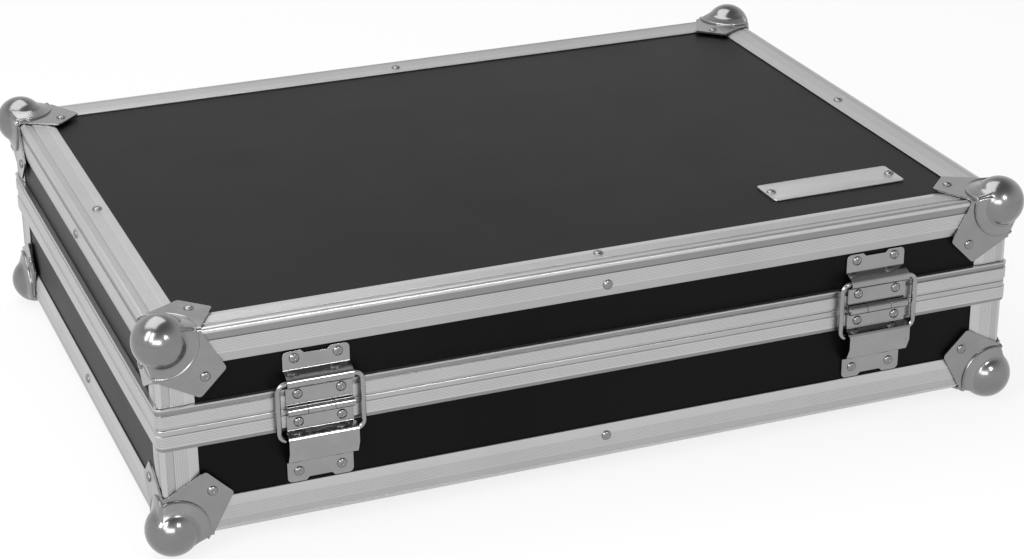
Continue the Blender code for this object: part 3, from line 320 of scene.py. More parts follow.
def fillet(points, radius, steps=5):
    """Round the inner corners of an open line; a radius for all or one for each point."""
    result = [Vector(points[0])]
    for before, here, after, size in zip(points, points[1:], points[2:], each(radius, len(points))[1:]):
        result += corner_curve(before, here, after, size, steps)
    result.append(Vector(points[-1]))
    return [tuple(point) for point in result]


def rounded_polygon(points, radius, steps=5):
    """Closed outline with its corners rounded; a radius for all or one for each point."""
    result = []
    corners = zip(points[-1:] + points[:-1], points, points[1:] + points[:1], each(radius, len(points)))
    for before, here, after, size in corners:
        result += corner_curve(before, here, after, size, steps)
    return [tuple(point) for point in result]


def rounded_rectangle(half_a, half_b, radius, steps=6):
    corners = [(half_a, half_b), (-half_a, half_b), (-half_a, -half_b), (half_a, -half_b)]
    return rounded_polygon(corners, radius, steps)


def dome(bm, center, outward, paint=0):
    """Blind rivet head: a low dome with a rolled rim and the mandrel's dimple."""
    turn = Vector(outward).to_track_quat("Z", "Y").to_matrix()
    profile = [(1.0, -0.15), (1.0, 0.16), (0.96, 0.36), (0.84, 0.62), (0.66, 0.84), (0.44, 0.96),
               (0.27, 1.0), (0.23, 0.93), (0.18, 0.80), (0.02, 0.76)]
    rings = []
    for share, rise in profile:
        size, height = RIVET_RADIUS * share, RIVET_HEIGHT * rise
        rings.append([Vector(center) + turn @ Vector((size * c, size * s, height)) for c, s in circle(24)])
    loft(bm, rings, closed_points=True, caps=True, paint=paint)


def tube(bm, points, radius, sides=16, closed=False, paint=0):
    """Round wire along a line that lies in one plane; a radius for all or one for each point."""
    count = len(points)
    points = [Vector(point) for point in points]
    plane = Vector()
    for a, b, c in zip(points, points[1:], points[2:]):
        turn = (b - a).cross(c - b)
        plane = turn if turn.length > plane.length else plane
    if plane.length < 1e-12:
        plane = (points[1] - points[0]).orthogonal()
    plane.normalize()
    rings = []
    for index, (point, size) in enumerate(zip(points, each(radius, count))):
        before = points[index - 1] if closed or index > 0 else point
        after = points[(index + 1) % count] if closed or index < count - 1 else point
        side = plane.cross((after - before).normalized())
        rings.append([point + (side * c + plane * s) * size for c, s in circle(sides)])
    loft(bm, rings, closed_rings=closed, closed_points=True, caps=not closed, paint=paint)


def end_trim(across, half, corner, notch):
    """How far a sheet's end is cut back at a distance from its middle line."""
    across = abs(across)
    trim = 0.0
    if corner and across > half - corner:
        share = min((across - half + corner) / corner, 1.0)
        trim = corner * (1 - math.sqrt(max(1 - share * share, 0.0)))
    if notch:
        inner, outer, depth = notch
        if across <= inner:
            trim = depth
        elif across < outer:
            trim = depth * (outer - across) / (outer - inner)
    return trim


def sheet(bm, line, half, place, corners=(0.0, 0.0), notches=(None, None), wide=None):
    """Bent sheet that follows an outer line from top to bottom, with rounded ends and end notches.

    The wide span is (from, to, extra): there the sheet is wider by the extra on both sides.
    """
    lengths = distances(line)
    total = lengths[-1]
    normals = []
    for before, after in zip(line[:1] + line[:-1], line[1:] + line[-1:]):
        step = (Vector(after) - Vector(before)).normalized()
        normals.append(Vector((-step.y, step.x)))
    marks = {0.0, total, *lengths}
    across = {0.0, half, -half}
    for corner, notch, end in zip(corners, notches, (0.0, total)):
        if corner:
            marks.add(abs(end - corner))
            for step in range(1, 7):
                across.add(half - corner + corner * math.sin(math.radians(step * 15 - 15)))
        if notch:
            marks.add(abs(end - notch[2]))
            across |= {notch[0], notch[1]}
    if wide:
        marks |= {wide[0], wide[0] + 0.0005, wide[1] - 0.0005, wide[1]}
    across |= {-value for value in across}
    across = sorted(across)

    def at(length):
        for index in range(len(line) - 1):
            if length <= lengths[index + 1] or index == len(line) - 2:
                share = (length - lengths[index]) / (lengths[index + 1] - lengths[index])
                point = Vector(line[index]).lerp(Vector(line[index + 1]), share)
                return point, normals[index].lerp(normals[index + 1], share).normalized()

    outer, inner = [], []
    for mark in sorted(marks):
        extra = wide[2] if wide and wide[0] + 0.0004 < mark < wide[1] - 0.0004 else 0.0
        outer_row, inner_row = [], []
        for value in across:
            low = end_trim(value, half, corners[0], notches[0])
            high = total - end_trim(value, half, corners[1], notches[1])
            point, normal = at(min(max(mark, low), high))
            back = point - normal * SHEET
            w = value + math.copysign(extra, value) if abs(value) > half - 0.000001 else value
            outer_row.append(place(point.x, point.y, w))
            inner_row.append(place(back.x, back.y, w))
        outer.append(outer_row)
        inner.append(inner_row)
    loft(bm, outer)
    loft(bm, inner)
    for end in (0, -1):
        loft(bm, [outer[end], inner[end]])
    for end in (0, -1):
        loft(bm, [[row[end] for row in outer], [row[end] for row in inner]])


# Edge profiles

LEG_RELIEF = (
    (0.0030, 0.0), (0.0032, 0.00018), (0.0052, 0.00028), (0.0072, 0.00052), (0.0076, 0.0),
)
RIB_START = 0.0082
RIB_PITCH = 0.00095
RIB_DEPTH = 0.00007
RIB_COUNT = 8


def leg_line():
    """Outer face of one leg as (distance from the corner, depth)."""
    line = list(LEG_RELIEF)
    for index in range(RIB_COUNT):
        start = RIB_START + index * RIB_PITCH
        line += [(start, 0.0), (start + RIB_PITCH * 0.3, RIB_DEPTH), (start + RIB_PITCH * 0.5, RIB_DEPTH)]
        line += [(start + RIB_PITCH * 0.8, 0.0)]
    line += [(0.0163, 0.0), (0.0213, 0.00072), (0.0218, 0.0008), (EDGE_LEG, 0.0011)]
    return line


def edge_section():
    """Closed section of the profile; both coordinates run inwards from the outer corner."""
    leg = leg_line()
    outer = [(distance, depth) for distance, depth in reversed(leg)]
    outer += arc((0.0026, 0.0026), 0.0026, 270, 180, 6)
    outer += [(depth, distance) for distance, depth in leg]
    inner = [(EDGE_WALL, EDGE_LEG), (EDGE_WALL, EDGE_WALL), (EDGE_LEG, EDGE_WALL)]
    return outer + inner


# Tones of the aluminium: painted light, a painted mid tone and painted shade, as three copies of one satin
# material
PAINTED_LIT, PAINTED_MIDTONE, PAINTED_SHADE = 0, 1, 2


def leg_paints(painted_step_tone):
    """Which painted tone each stretch of a leg has: grooves get painted shade, and so can the step by the
    bead.
    """
    paints = []
    leg = leg_line()
    for (near, depth_a), (far, depth_b) in zip(leg, leg[1:]):
        middle = (near + far) / 2
        if depth_a == depth_b == RIB_DEPTH:
            paints.append(PAINTED_SHADE)
        elif middle < 0.0076:
            paints.append(painted_step_tone)
        else:
            # A shaded step also gives the far stretch a painted mid tone; the rest gets painted light
            paints.append(PAINTED_MIDTONE if middle > 0.0163 and painted_step_tone == PAINTED_SHADE else PAINTED_LIT)
    return paints


def edge_paints(painted_second_step_tone):
    """Painted tones round the section, with a painted highlight on the bead: the first leg is the even one.
    """
    return leg_paints(PAINTED_MIDTONE)[::-1] + [PAINTED_LIT] * 8 + leg_paints(painted_second_step_tone) + [PAINTED_MIDTONE] * 4


# Painted tones of the band: painted shade in the rib valleys and on the long slopes, a painted mid tone on
# the recessed strip, painted light elsewhere
def band_paints(section):
    paints = []
    for (inset_a, rise_a), (inset_b, rise_b) in zip(section, section[1:] + section[:1]):
        valley = inset_a == inset_b and 0 < inset_a < 0.0002
        slope = 0.0004 < abs(inset_a - inset_b) < 0.0009 and abs(rise_a - rise_b) > 0.0015
        if valley or slope:
            paints.append(PAINTED_SHADE)
        else:
            paints.append(PAINTED_MIDTONE if inset_a == inset_b == 0.0006 else PAINTED_LIT)
    return paints


def edge_piece(name, corner, inward_a, inward_b, along, half, material, body, painted_step_tone=PAINTED_MIDTONE):
    bm = bmesh.new()
    rings = [[corner + inward_a * a + inward_b * b + along * place for a, b in edge_section()]
             for place in (-half, half)]
    loft(bm, rings, closed_points=True, caps=True, paint=edge_paints(painted_step_tone))
    stand_in(name, "profile", bm, material, body, angle=20)


def build_edges(material, rivet_steel):
    x_axis, y_axis, z_axis = Vector((1, 0, 0)), Vector((0, 1, 0)), Vector((0, 0, 1))
    end = EDGE_LEG + FIT_GAP
    for shell, level, up in (("base", CASE_LOW, z_axis), ("lid", CASE_HIGH, -z_axis)):
        # The step by the bead gets painted shade on the lid and a painted mid tone on the base
        step_tone = PAINTED_SHADE if shell == "lid" else PAINTED_MIDTONE
        for side, sign in (("hinge_side", -1), ("latch_side", 1)):
            corner = Vector((0, sign * HALF_DEPTH, level))
            name = f"{shell}_edge_{side}"
            edge_piece(name, corner, y_axis * -sign, up, x_axis, HALF_LENGTH - end, material, shell, step_tone)
        for side, sign in SIDES:
            corner = Vector((sign * HALF_LENGTH, 0, level))
            name = f"{shell}_edge_{side}"
            edge_piece(name, corner, x_axis * -sign, up, y_axis, HALF_DEPTH - end, material, shell, step_tone)
        near = level + up.z * end
        far = SEAM - up.z * (BAND_HALF + FIT_GAP)
        for side_y, sign_y in (("hinge", -1), ("latch", 1)):
            for side_x, sign_x in SIDES:
                corner = Vector((sign_x * HALF_LENGTH, sign_y * HALF_DEPTH, (near + far) / 2))
                name = f"{shell}_upright_{side_y}_{side_x}"
                half = abs(far - near) / 2
                edge_piece(name, corner, x_axis * -sign_x, y_axis * -sign_y, z_axis, half, material, shell)
        centers, outward = [], []
        rise = level + up.z * EDGE_RIVET_INSET
        for sign in (-1, 1):
            centers += [(0, sign * HALF_DEPTH, rise), (0, sign * (HALF_DEPTH - EDGE_RIVET_INSET), level),
                        (sign * HALF_LENGTH, 0, rise), (sign * (HALF_LENGTH - EDGE_RIVET_INSET), 0, level)]
            outward += [y_axis * sign, -up, x_axis * sign, -up]
        rivets(f"{shell}_edge_rivets", shell, rivet_steel, centers, outward)


# Closure band

BAND_INNER_WALL = 0.0015
BAND_CORNER = 0.0048
BAND_CORNER_STEPS = 8


def ribs(start, end, count, depth):
    """Fine ribs between two heights, as (depth, height)."""
    step = (end - start) / count
    line = []
    for index in range(count):
        low = start + step * index
        line += [(0.0, low), (depth, low + step * 0.35), (depth, low + step * 0.55), (0.0, low + step * 0.9)]
    return line


def band_section(upper):
    """Section as (inset from the outer face, height over the seam), for the lid half or the base half."""
    inner_face = BAND_PROUD - PANEL_OUT + PANEL_THICKNESS + FIT_GAP + BAND_INNER_WALL
    slot_face = inner_face - BAND_INNER_WALL
    wall = BAND_PROUD + EDGE_WALL
    if upper:
        gap, end, web = HALF_GAP, BAND_HALF, HALF_GAP + 0.0043
        outer = [(0.0012, end), (0.0003, end), (0.0, end - 0.0003)]
        outer += [(0.0, 0.0124), (0.0008, 0.0094), (0.0, 0.0091)]
        outer += ribs(0.0088, 0.0028, 7, 0.00008)
        outer += [(0.0, 0.0025), (0.0006, 0.0022), (0.0006, gap + 0.0004), (0.0009, gap)]
        joint = [(0.0042, gap), (0.0042, 0.0028), (0.0094, 0.0028), (0.0094, gap)]
    else:
        gap, end, web = -HALF_GAP, -BAND_HALF, -HALF_GAP - 0.0015
        outer = [(0.0012, end), (0.0007, end), (0.0005, end + 0.0003), (0.0, -0.0109), (0.0, -0.0106)]
        outer += ribs(-0.0100, -0.0044, 6, 0.00006)
        outer += [(0.0, -0.0036), (0.0006, -0.0033), (0.0006, gap - 0.0004), (0.0009, gap)]
        joint = [(0.0048, gap), (0.0048, 0.0017), (0.0053, 0.0022), (0.0083, 0.0022), (0.0088, 0.0017)]
        joint.append((0.0088, gap))
    inner = [(inner_face, gap), (inner_face, end), (slot_face, end), (slot_face, web)]
    return outer + joint + inner + [(wall, web), (wall, end)]


def build_band(material):
    for body, node, upper in (("lid", "closure_band_lid", True), ("base", "closure_band_base", False)):
        rings = []
        for sign_x, sign_y, quarter in QUARTERS:
            for step in range(BAND_CORNER_STEPS + 1):
                angle = math.radians(quarter + step * 90 / BAND_CORNER_STEPS)
                ring = []
                for inset, rise in band_section(upper):
                    radius = max(BAND_CORNER - inset, 0)
                    center = max(BAND_CORNER, inset)
                    x = sign_x * (HALF_LENGTH + BAND_PROUD - center) + radius * math.cos(angle)
                    y = sign_y * (HALF_DEPTH + BAND_PROUD - center) + radius * math.sin(angle)
                    ring.append(Vector((x, y, SEAM + rise)))
                rings.append(ring)
        bm = bmesh.new()
        loft(bm, rings, closed_rings=True, closed_points=True, paint=band_paints(band_section(upper)))
        stand_in(node, "profile", bm, material, body, angle=20)


# Ball corners

FLANGE_RIVET_INSET = 0.0283
SKIRT_STEPS = 56
# Closed section of the collar, as (radius round the ball's axis, rise over the flange)
SKIRT = (
    (0.0121, 0.00397), (0.0126, 0.00348), (0.0133, 0.00302), (0.0143, 0.00252), (0.0157, 0.00202),
    (0.0172, 0.00158), (0.0186, 0.00118), (0.0194, 0.00094), (0.0199, 0.00092), (0.0203, 0.00128),
    (0.0207, 0.00136), (0.0210, 0.00108), (0.0211, 0.00050), (0.0211, -0.0002), (0.0121, -0.0002),
)
FOLD = 0.0028


def round_fold(point):
    """Move a point near the fold of two faces onto the rounded fold."""
    order = sorted(range(3), key=lambda index: point[index])
    low, next_low = point[order[0]], point[order[1]]
    gap = next_low - low
    if gap >= FOLD:
        return point
    angle = math.radians(45) * (1 - gap / FOLD)
    result = Vector(point)
    result[order[0]] = low + FOLD - FOLD * math.cos(angle)
    result[order[1]] = low + FOLD - FOLD * math.sin(angle)
    return result


def skirt(bm, place, outer):
    """Dished ring between the ball and one flange; it ends where the next face's ring begins."""
    rings = []
    for index in range(SKIRT_STEPS + 1):
        share = (1 - math.cos(math.pi * index / SKIRT_STEPS)) / 2
        ring = []
        for radius, rise in SKIRT:
            depth = -outer - rise
            far = math.acos((depth - BALL_INSET) / radius)
            near = math.pi / 2 - far
            angle = near + (far - near) * share
            a = BALL_INSET + radius * math.cos(angle)
            b = BALL_INSET + radius * math.sin(angle)
            ring.append(round_fold(place(a, b, depth)))
        rings.append(ring)
    loft(bm, rings, closed_points=True, paint=[0] * 3 + [1] * (len(SKIRT) - 3))


def corner_mesh(flat):
    """Ball corner for a corner at the origin with the case towards +X, +Y and +Z."""
    outer = FIT_GAP + SHEET
    bm = bmesh.new()
    center = Vector((BALL_INSET,) * 3)
    turn = Matrix.Translation(center) @ Vector((1, 1, 1)).to_track_quat("Z", "Y").to_matrix().to_4x4()
    bmesh.ops.create_uvsphere(bm, u_segments=72, v_segments=44, radius=BALL_RADIUS, matrix=turn)
    if flat:
        for vert in bm.verts:
            vert.co.z = max(vert.co.z, -CASE_LOW)
    places = (
        lambda a, b, c: Vector((a, b, c)),
        lambda a, b, c: Vector((c, a, b)),
        lambda a, b, c: Vector((b, c, a)),
    )
    root, reach, side = 0.028, 0.041, 0.025
    start = FOLD - outer
    outline = rounded_polygon(
        [(start, start), (root, start), (reach, side), (side, reach), (start, root)],
        [0, 0.0008, 0.0026, 0.0026, 0.0008])
    fold = arc((start, start), -FOLD, 0, 90, 6) + arc((start, start), SHEET - FOLD, 0, 90, 6)[::-1]
    for place in places:
        slab = [[place(a, b, -depth) for a, b in outline] for depth in (outer, FIT_GAP)]
        loft(bm, slab, closed_points=True, caps=True, paint=1)
        bend = [[place(span, p, q) for p, q in fold] for span in (0.012, root)]
        loft(bm, bend, closed_points=True, caps=True, paint=1)
        skirt(bm, place, outer)
        dome(bm, place(FLANGE_RIVET_INSET, FLANGE_RIVET_INSET, -outer), place(0, 0, -1), paint=2)
    return bm


def build_ball_corners(materials):
    for shell, sign_z, level in (("base", 1, CASE_LOW), ("lid", -1, CASE_HIGH)):
        source = corner_mesh(shell == "base")
        mesh = bpy.data.meshes.new("corner")
        source.to_mesh(mesh)
        source.free()
        for side_y, sign_y in (("hinge", 1), ("latch", -1)):
            for side_x, sign_x in (("left", 1), ("right", -1)):
                bm = bmesh.new()
                bm.from_mesh(mesh)
                corner = Vector((-sign_x * HALF_LENGTH, -sign_y * HALF_DEPTH, level))
                bm.transform(Matrix.Translation(corner) @ Matrix.Diagonal((sign_x, sign_y, sign_z, 1)))
                stand_in(f"{shell}_ball_corner_{side_y}_{side_x}", "pressed", bm, materials, shell)
        bpy.data.meshes.remove(mesh)


# Lid-stay hinges

LEAF_HALF = 0.020
RING_TOP_RISE = 0.0182
RING_CORNER = 0.005
RING_WIRE = 0.0017


def hinge_place(center_x):
    return lambda reach, rise, along: Vector((center_x + along, -HALF_DEPTH - reach, SEAM + rise))


def extrude(bm, place, outline, ends):
    """Solid of a (reach, rise) outline between two places along the wall."""
    rings = [[place(reach, rise, along) for reach, rise in outline] for along in ends]
    loft(bm, rings, closed_points=True, caps=True)


def knuckle(bm, place, direction, ends):
    """Sheet rolled round the pin; direction is 1 where its leaf lies below the pin."""
    radius, bore, tail = 0.0029, 0.0018, 0.0043
    axis = (AXIS_REACH, 0.0)
    curl = arc(axis, radius, 180, -112, 30) + arc(axis, bore, 180, -112, 30)[::-1]
    outline = [(AXIS_REACH - radius + SHEET, -tail), (AXIS_REACH - radius, -tail)] + curl
    extrude(bm, place, [(reach, rise * direction) for reach, rise in outline], ends)


def upper_leaf_line():
    seat = arc((AXIS_REACH, RING_TOP_RISE), 0.0032, 74, -70, 14)
    line = [(ON_PANEL, 0.0352), (ON_PANEL, 0.0236)]
    tail = [(ON_BAND, 0.0136), (ON_BAND, 0.0031)]
    return fillet(line + seat[:1], 0.0009) + seat[1:-1] + fillet(seat[-1:] + tail, 0.0006)


def lower_leaf_line():
    crest = 0.0103
    line = [(ON_BAND, -0.0031), (ON_BAND, -0.0127), (crest - 0.0010, -0.0142), (crest, -0.0156),
            (crest, -0.0240), (0.0069, -0.0315), (ON_PANEL, -0.0352), (ON_PANEL, -0.0482)]
    return fillet(line, [0, 0.0007, 0.0009, 0.0009, 0.0012, 0.0016, 0.0020, 0])


def stay_ring(bm, place):
    half_width, half_height = 0.02535, 0.01785
    outline = []
    for sign_x, sign_z, quarter in QUARTERS:
        center = (sign_x * (half_width - RING_CORNER), sign_z * (half_height - RING_CORNER))
        outline += arc(center, RING_CORNER, quarter, quarter + 90, 8)
    middle = RING_TOP_RISE - half_height
    points = [place(AXIS_REACH, middle + rise, along) for along, rise in outline]
    tube(bm, points, RING_WIRE, 18, closed=True)


def build_hinges(steel, rivet_steel):
    notch = (0.0068, 0.0088, 0.0020)
    outward = Vector((0, -1, 0))
    line = lower_leaf_line()
    marks = list(zip(line, distances(line)))
    near = next(length for point, length in marks if point[0] > ON_BAND + 0.0004)
    far = max(length for point, length in marks if point[0] > ON_PANEL + 0.0008)
    for side, sign in SIDES:
        place = hinge_place(sign * HINGE_OFFSET)
        bm = bmesh.new()
        sheet(bm, upper_leaf_line(), LEAF_HALF, place, (0.0030, 0.0), (notch, None))
        for ends in ((-LEAF_HALF, -0.0083), (0.0083, LEAF_HALF)):
            knuckle(bm, place, -1, ends)
        stand_in(f"hinge_{side}_upper_leaf", "pressed", bm, steel, "lid", bevel=SHEET_BEVEL)
        bm = bmesh.new()
        sheet(bm, line, LEAF_HALF, place, (0.0, 0.0030), (None, notch), (near, far, 0.0010))
        knuckle(bm, place, 1, (-0.008, 0.008))
        stand_in(f"hinge_{side}_lower_leaf", "pressed", bm, steel, "base", bevel=SHEET_BEVEL)
        bm = bmesh.new()
        ends = (-LEAF_HALF, -0.0197, 0.0197, LEAF_HALF)
        tube(bm, [place(AXIS_REACH, 0.0, along) for along in ends], [0.0012, 0.0015, 0.0015, 0.0012], 20)
        stand_in(f"hinge_{side}_pin", "turned", bm, steel, "base", angle=35)
        bm = bmesh.new()
        stay_ring(bm, place)
        stand_in(f"hinge_{side}_stay_ring", "wire", bm, steel, f"stay_ring_{side}", angle=35)
        for body, levels in (("lid", ((ON_PANEL, 0.0308), (ON_BAND, 0.0100))),
                             ("base", ((ON_BAND, -0.0078), (ON_PANEL, -0.0415)))):
            centers = [place(reach, rise, along) for reach, rise in levels for along in (-0.013, 0.013)]
            rivets(f"hinge_{side}_{body}_rivets", body, rivet_steel, centers, outward)


# Badge plate, left blank

def build_badge(badge, rivet_steel):
    """Thin plate with a fine raised border; it lies on the lid's panel towards one corner."""
    center = Vector((HALF_LENGTH - 0.0925, 0.063 - HALF_DEPTH, CASE_HIGH + PANEL_OUT + FIT_GAP))
    bm = bmesh.new()
    rings = []
    for inset, rise in ((0.0, 0.0), (0.0, 0.0007), (0.00012, 0.0009), (0.0004, 0.0010),
                        (0.0014, 0.0010), (0.0016, 0.0009), (0.0018, 0.0009), (0.0020, 0.0010)):
        outline = rounded_rectangle(0.046 - inset, 0.013 - inset, 0.0022 - min(inset, 0.0012))
        rings.append([center + Vector((a, b, rise)) for a, b in outline])
    loft(bm, rings, closed_points=True, caps=True)
    stand_in("badge_plate", "blank", bm, badge, "lid", angle=35)
    centers = [center + Vector((side * 0.042, 0, 0.0010)) for side in (-1, 1)]
    rivets("badge_rivets", "lid", rivet_steel, centers, Vector((0, 0, 1)))


# Butterfly latches on the far side

def latch_place(center_x):
    return lambda reach, rise, along: Vector((center_x + along, HALF_DEPTH + reach, CASE_LOW + rise))


LATCH_LOW = 0.027
LATCH_HIGH = 0.0573
ROTOR_RISE = (LATCH_LOW + LATCH_HIGH) / 2
LATCH_FACE = 0.0075
ROTOR_FACE = 0.0082
WING_AXIS = 0.0097
ROTOR_HOLE = 0.0123
MOUTH_HALF = 0.0160
HOOK_HALF = 0.013
KEEPER_HALF = 0.016


def latch_body(bm, place):
    """Pressed housing: rounded box with a dished face, a round hole, a mouth for the hook and two ears."""
    half_a, half_b = 0.021, (LATCH_HIGH - LATCH_LOW) / 2
    sides = 96
    base = []
    outline = rounded_rectangle(half_a, half_b, 0.0035, 8)
    lengths = distances(outline, closed=True)
    for step in range(sides):
        target = lengths[-1] * step / sides
        index = max(i for i, length in enumerate(lengths[:-1]) if length <= target)
        share = (target - lengths[index]) / max(lengths[index + 1] - lengths[index], 1e-9)
        point = Vector(outline[index]).lerp(Vector(outline[(index + 1) % len(outline)]), share)
        base.append(point)

    def box_ring(inset, reach, mouth=False):
        ring = []
        for point in base:
            a = point.x * (half_a - inset) / half_a
            b = point.y * (half_b - inset) / half_b
            open_here = mouth and point.y > half_b - 0.0001 and abs(point.x) < MOUTH_HALF
            ring.append(place(0.0052 if open_here else reach, ROTOR_RISE + b, a))
        return ring

    def round_ring(radius, reach):
        directions = [point.normalized() for point in base]
        return [place(reach, ROTOR_RISE + radius * way.y, radius * way.x) for way in directions]

    back = ON_PANEL - SHEET
    rings = [box_ring(SHEET, back, True), box_ring(0.0, back, True)]
    rings += [box_ring(inset, LATCH_FACE - drop) for inset, drop in (
        (0.0, 0.0016), (0.0002, 0.0008), (0.0008, 0.0002), (0.0016, 0.0))]
    rings += [round_ring(radius, LATCH_FACE - drop) for radius, drop in (
        (0.0139, 0.0), (0.0134, 0.0002), (0.0129, 0.0005), (ROTOR_HOLE, 0.0006), (ROTOR_HOLE, SHEET))]
    rings.append(box_ring(SHEET, LATCH_FACE - SHEET))
    loft(bm, rings, closed_rings=True, closed_points=True)
    for sign in (-1, 1):
        ear = rounded_rectangle(0.0052, half_b - 0.0035, 0.0028)
        rings = []
        for reach, grow in ((back, 0.0), (ON_PANEL - 0.0002, 0.0), (ON_PANEL, -0.0002)):
            rings.append([place(reach, ROTOR_RISE + b + math.copysign(grow, b), sign * 0.0243 + a
                                + math.copysign(grow, a)) for a, b in ear])
        loft(bm, rings, closed_points=True, caps=True)


def latch_rotor(bm, place):
    """Disc with a rim and a ring groove, and two lugs for the wing."""
    profile = [(0.0113, 0.0045), (0.0120, 0.0048)]
    profile += [(radius, ROTOR_FACE - drop) for radius, drop in (
        (0.0120, 0.0004), (0.0118, 0.0001), (0.0113, 0.0), (0.0108, 0.0001), (0.0105, 0.0004),
        (0.0100, 0.0004), (0.0097, 0.0001), (0.0092, 0.0), (0.0005, 0.0))]
    rings = [[place(reach, ROTOR_RISE + radius * s, radius * c) for c, s in circle(64)]
             for radius, reach in profile]
    loft(bm, rings, closed_points=True, caps=True)
    for sign in (-1, 1):
        lug = [(ROTOR_FACE - 0.0005, -0.0022), (ROTOR_FACE - 0.0005, 0.0022), (WING_AXIS - 0.0002, 0.0019)]
        lug += [(WING_AXIS + 0.0019 * math.sin(math.radians(t)) * 0.62, 0.0019 * math.cos(math.radians(t)))
                for t in range(0, 181, 20)]
        lug += [(WING_AXIS - 0.0002, -0.0019)]
        outline = [(reach, ROTOR_RISE + rise) for reach, rise in lug]
        extrude(bm, place, outline, (sign * 0.0096, sign * 0.0116))


def latch_wing(bm, place):
    """Half-round wing with a finger dish and its barrel."""
    radius, half = 0.0145, 0.0093
    outline = [(half, 0.0), (half, -0.0024)]
    start = math.degrees(-math.asin(0.0024 / radius))
    outline += arc((0.0, 0.0), radius, start, -180 - start, 30)
    outline += [(-half, -0.0024), (-half, 0.0)]
    middle = Vector((0.0, -0.0066))
    rings = []
    for inset, lift in ((0.0, -0.0006), (0.0, 0.0004), (0.03, 0.00068), (0.08, 0.00075), (0.20, 0.00075),
                        (0.30, 0.0004), (0.42, 0.00015), (0.98, 0.0001)):
        ring = []
        for a, b in outline:
            point = Vector((a, b)).lerp(middle, inset)
            ring.append(place(WING_AXIS + lift, ROTOR_RISE + point.y, point.x))
        rings.append(ring)
    loft(bm, rings, closed_points=True, caps=True)
    for reach, radius, sides in ((half, 0.0012, 20), (0.0118, 0.0008, 16)):
        tube(bm, [place(WING_AXIS, ROTOR_RISE, along) for along in (-reach, reach)], radius, sides)


def hook_line():
    """Middle line of the hook, raised and leaning out as it is while the latch is open."""
    lean, lift = 0.00135, 0.0080
    line = [(0.0036, 0.0785), (0.0061, 0.0785), (0.0061, 0.0648), (0.0035, 0.0620), (0.0035, 0.0497),
            (0.0, 0.0469), (0.0, 0.0320)]
    line = fillet(line, [0, 0.0009, 0.0012, 0.0012, 0.0012, 0.0012, 0])
    return [(reach + lean, rise + lift) for reach, rise in line]


def keeper_outline():
    line = [(ON_BAND, 0.0726), (0.0046, 0.0738), (0.0046, 0.0768), (ON_BAND, 0.0768), (ON_BAND, 0.0849)]
    line += [(ON_PANEL, 0.0875), (ON_PANEL, 0.1020)]
    outer = fillet(line, [0, 0.0004, 0.0003, 0.0003, 0.0014, 0.0014, 0])
    inner = [(ON_PANEL - SHEET, 0.1020), (ON_PANEL - SHEET, 0.0872), (ON_BAND - SHEET, 0.0846)]
    return outer + inner + [(ON_BAND - SHEET, 0.0726)]


def build_latches(steel, rivet_steel):
    outward = Vector((0, 1, 0))
    spread = (LATCH_HIGH - LATCH_LOW) / 2 - 0.0071
    for side, sign in SIDES:
        latch = f"latch_{side}"
        place = latch_place(sign * LATCH_OFFSET)
        for part, build, body in (("body", latch_body, "base"), ("rotor", latch_rotor, f"rotor_{side}"),
                                  ("wing", latch_wing, f"wing_{side}")):
            bm = bmesh.new()
            build(bm, place)
            stand_in(f"{latch}_{part}", "pressed", bm, steel, body)
        bm = bmesh.new()
        sheet(bm, hook_line(), HOOK_HALF, place, (0.0012, 0.0))
        stand_in(f"{latch}_hook", "pressed", bm, steel, f"hook_{side}", bevel=SHEET_BEVEL)
        bm = bmesh.new()
        extrude(bm, place, keeper_outline(), (-KEEPER_HALF, KEEPER_HALF))
        stand_in(f"{latch}_keeper", "pressed", bm, steel, "lid", bevel=0.0003)
        centers = [place(ON_PANEL, ROTOR_RISE + level * spread, along)
                   for along in (-0.02525, 0.02525) for level in (-1, 1)]
        rivets(f"{latch}_body_rivets", "base", rivet_steel, centers, outward)
        centers = [place(ON_PANEL, 0.0946, along) for along in (-0.010, 0.010)]
        rivets(f"{latch}_keeper_rivets", "lid", rivet_steel, centers, outward)


# Carry handle

PIVOT_RISE = 0.0501
PIVOT_REACH = 0.0016
GRIP_REACH = 0.0062
GRIP_DROP = 0.0340
GRIP_HALF = 0.0255
GRIP_RIBS = 17
BAIL_WIRE = 0.0025


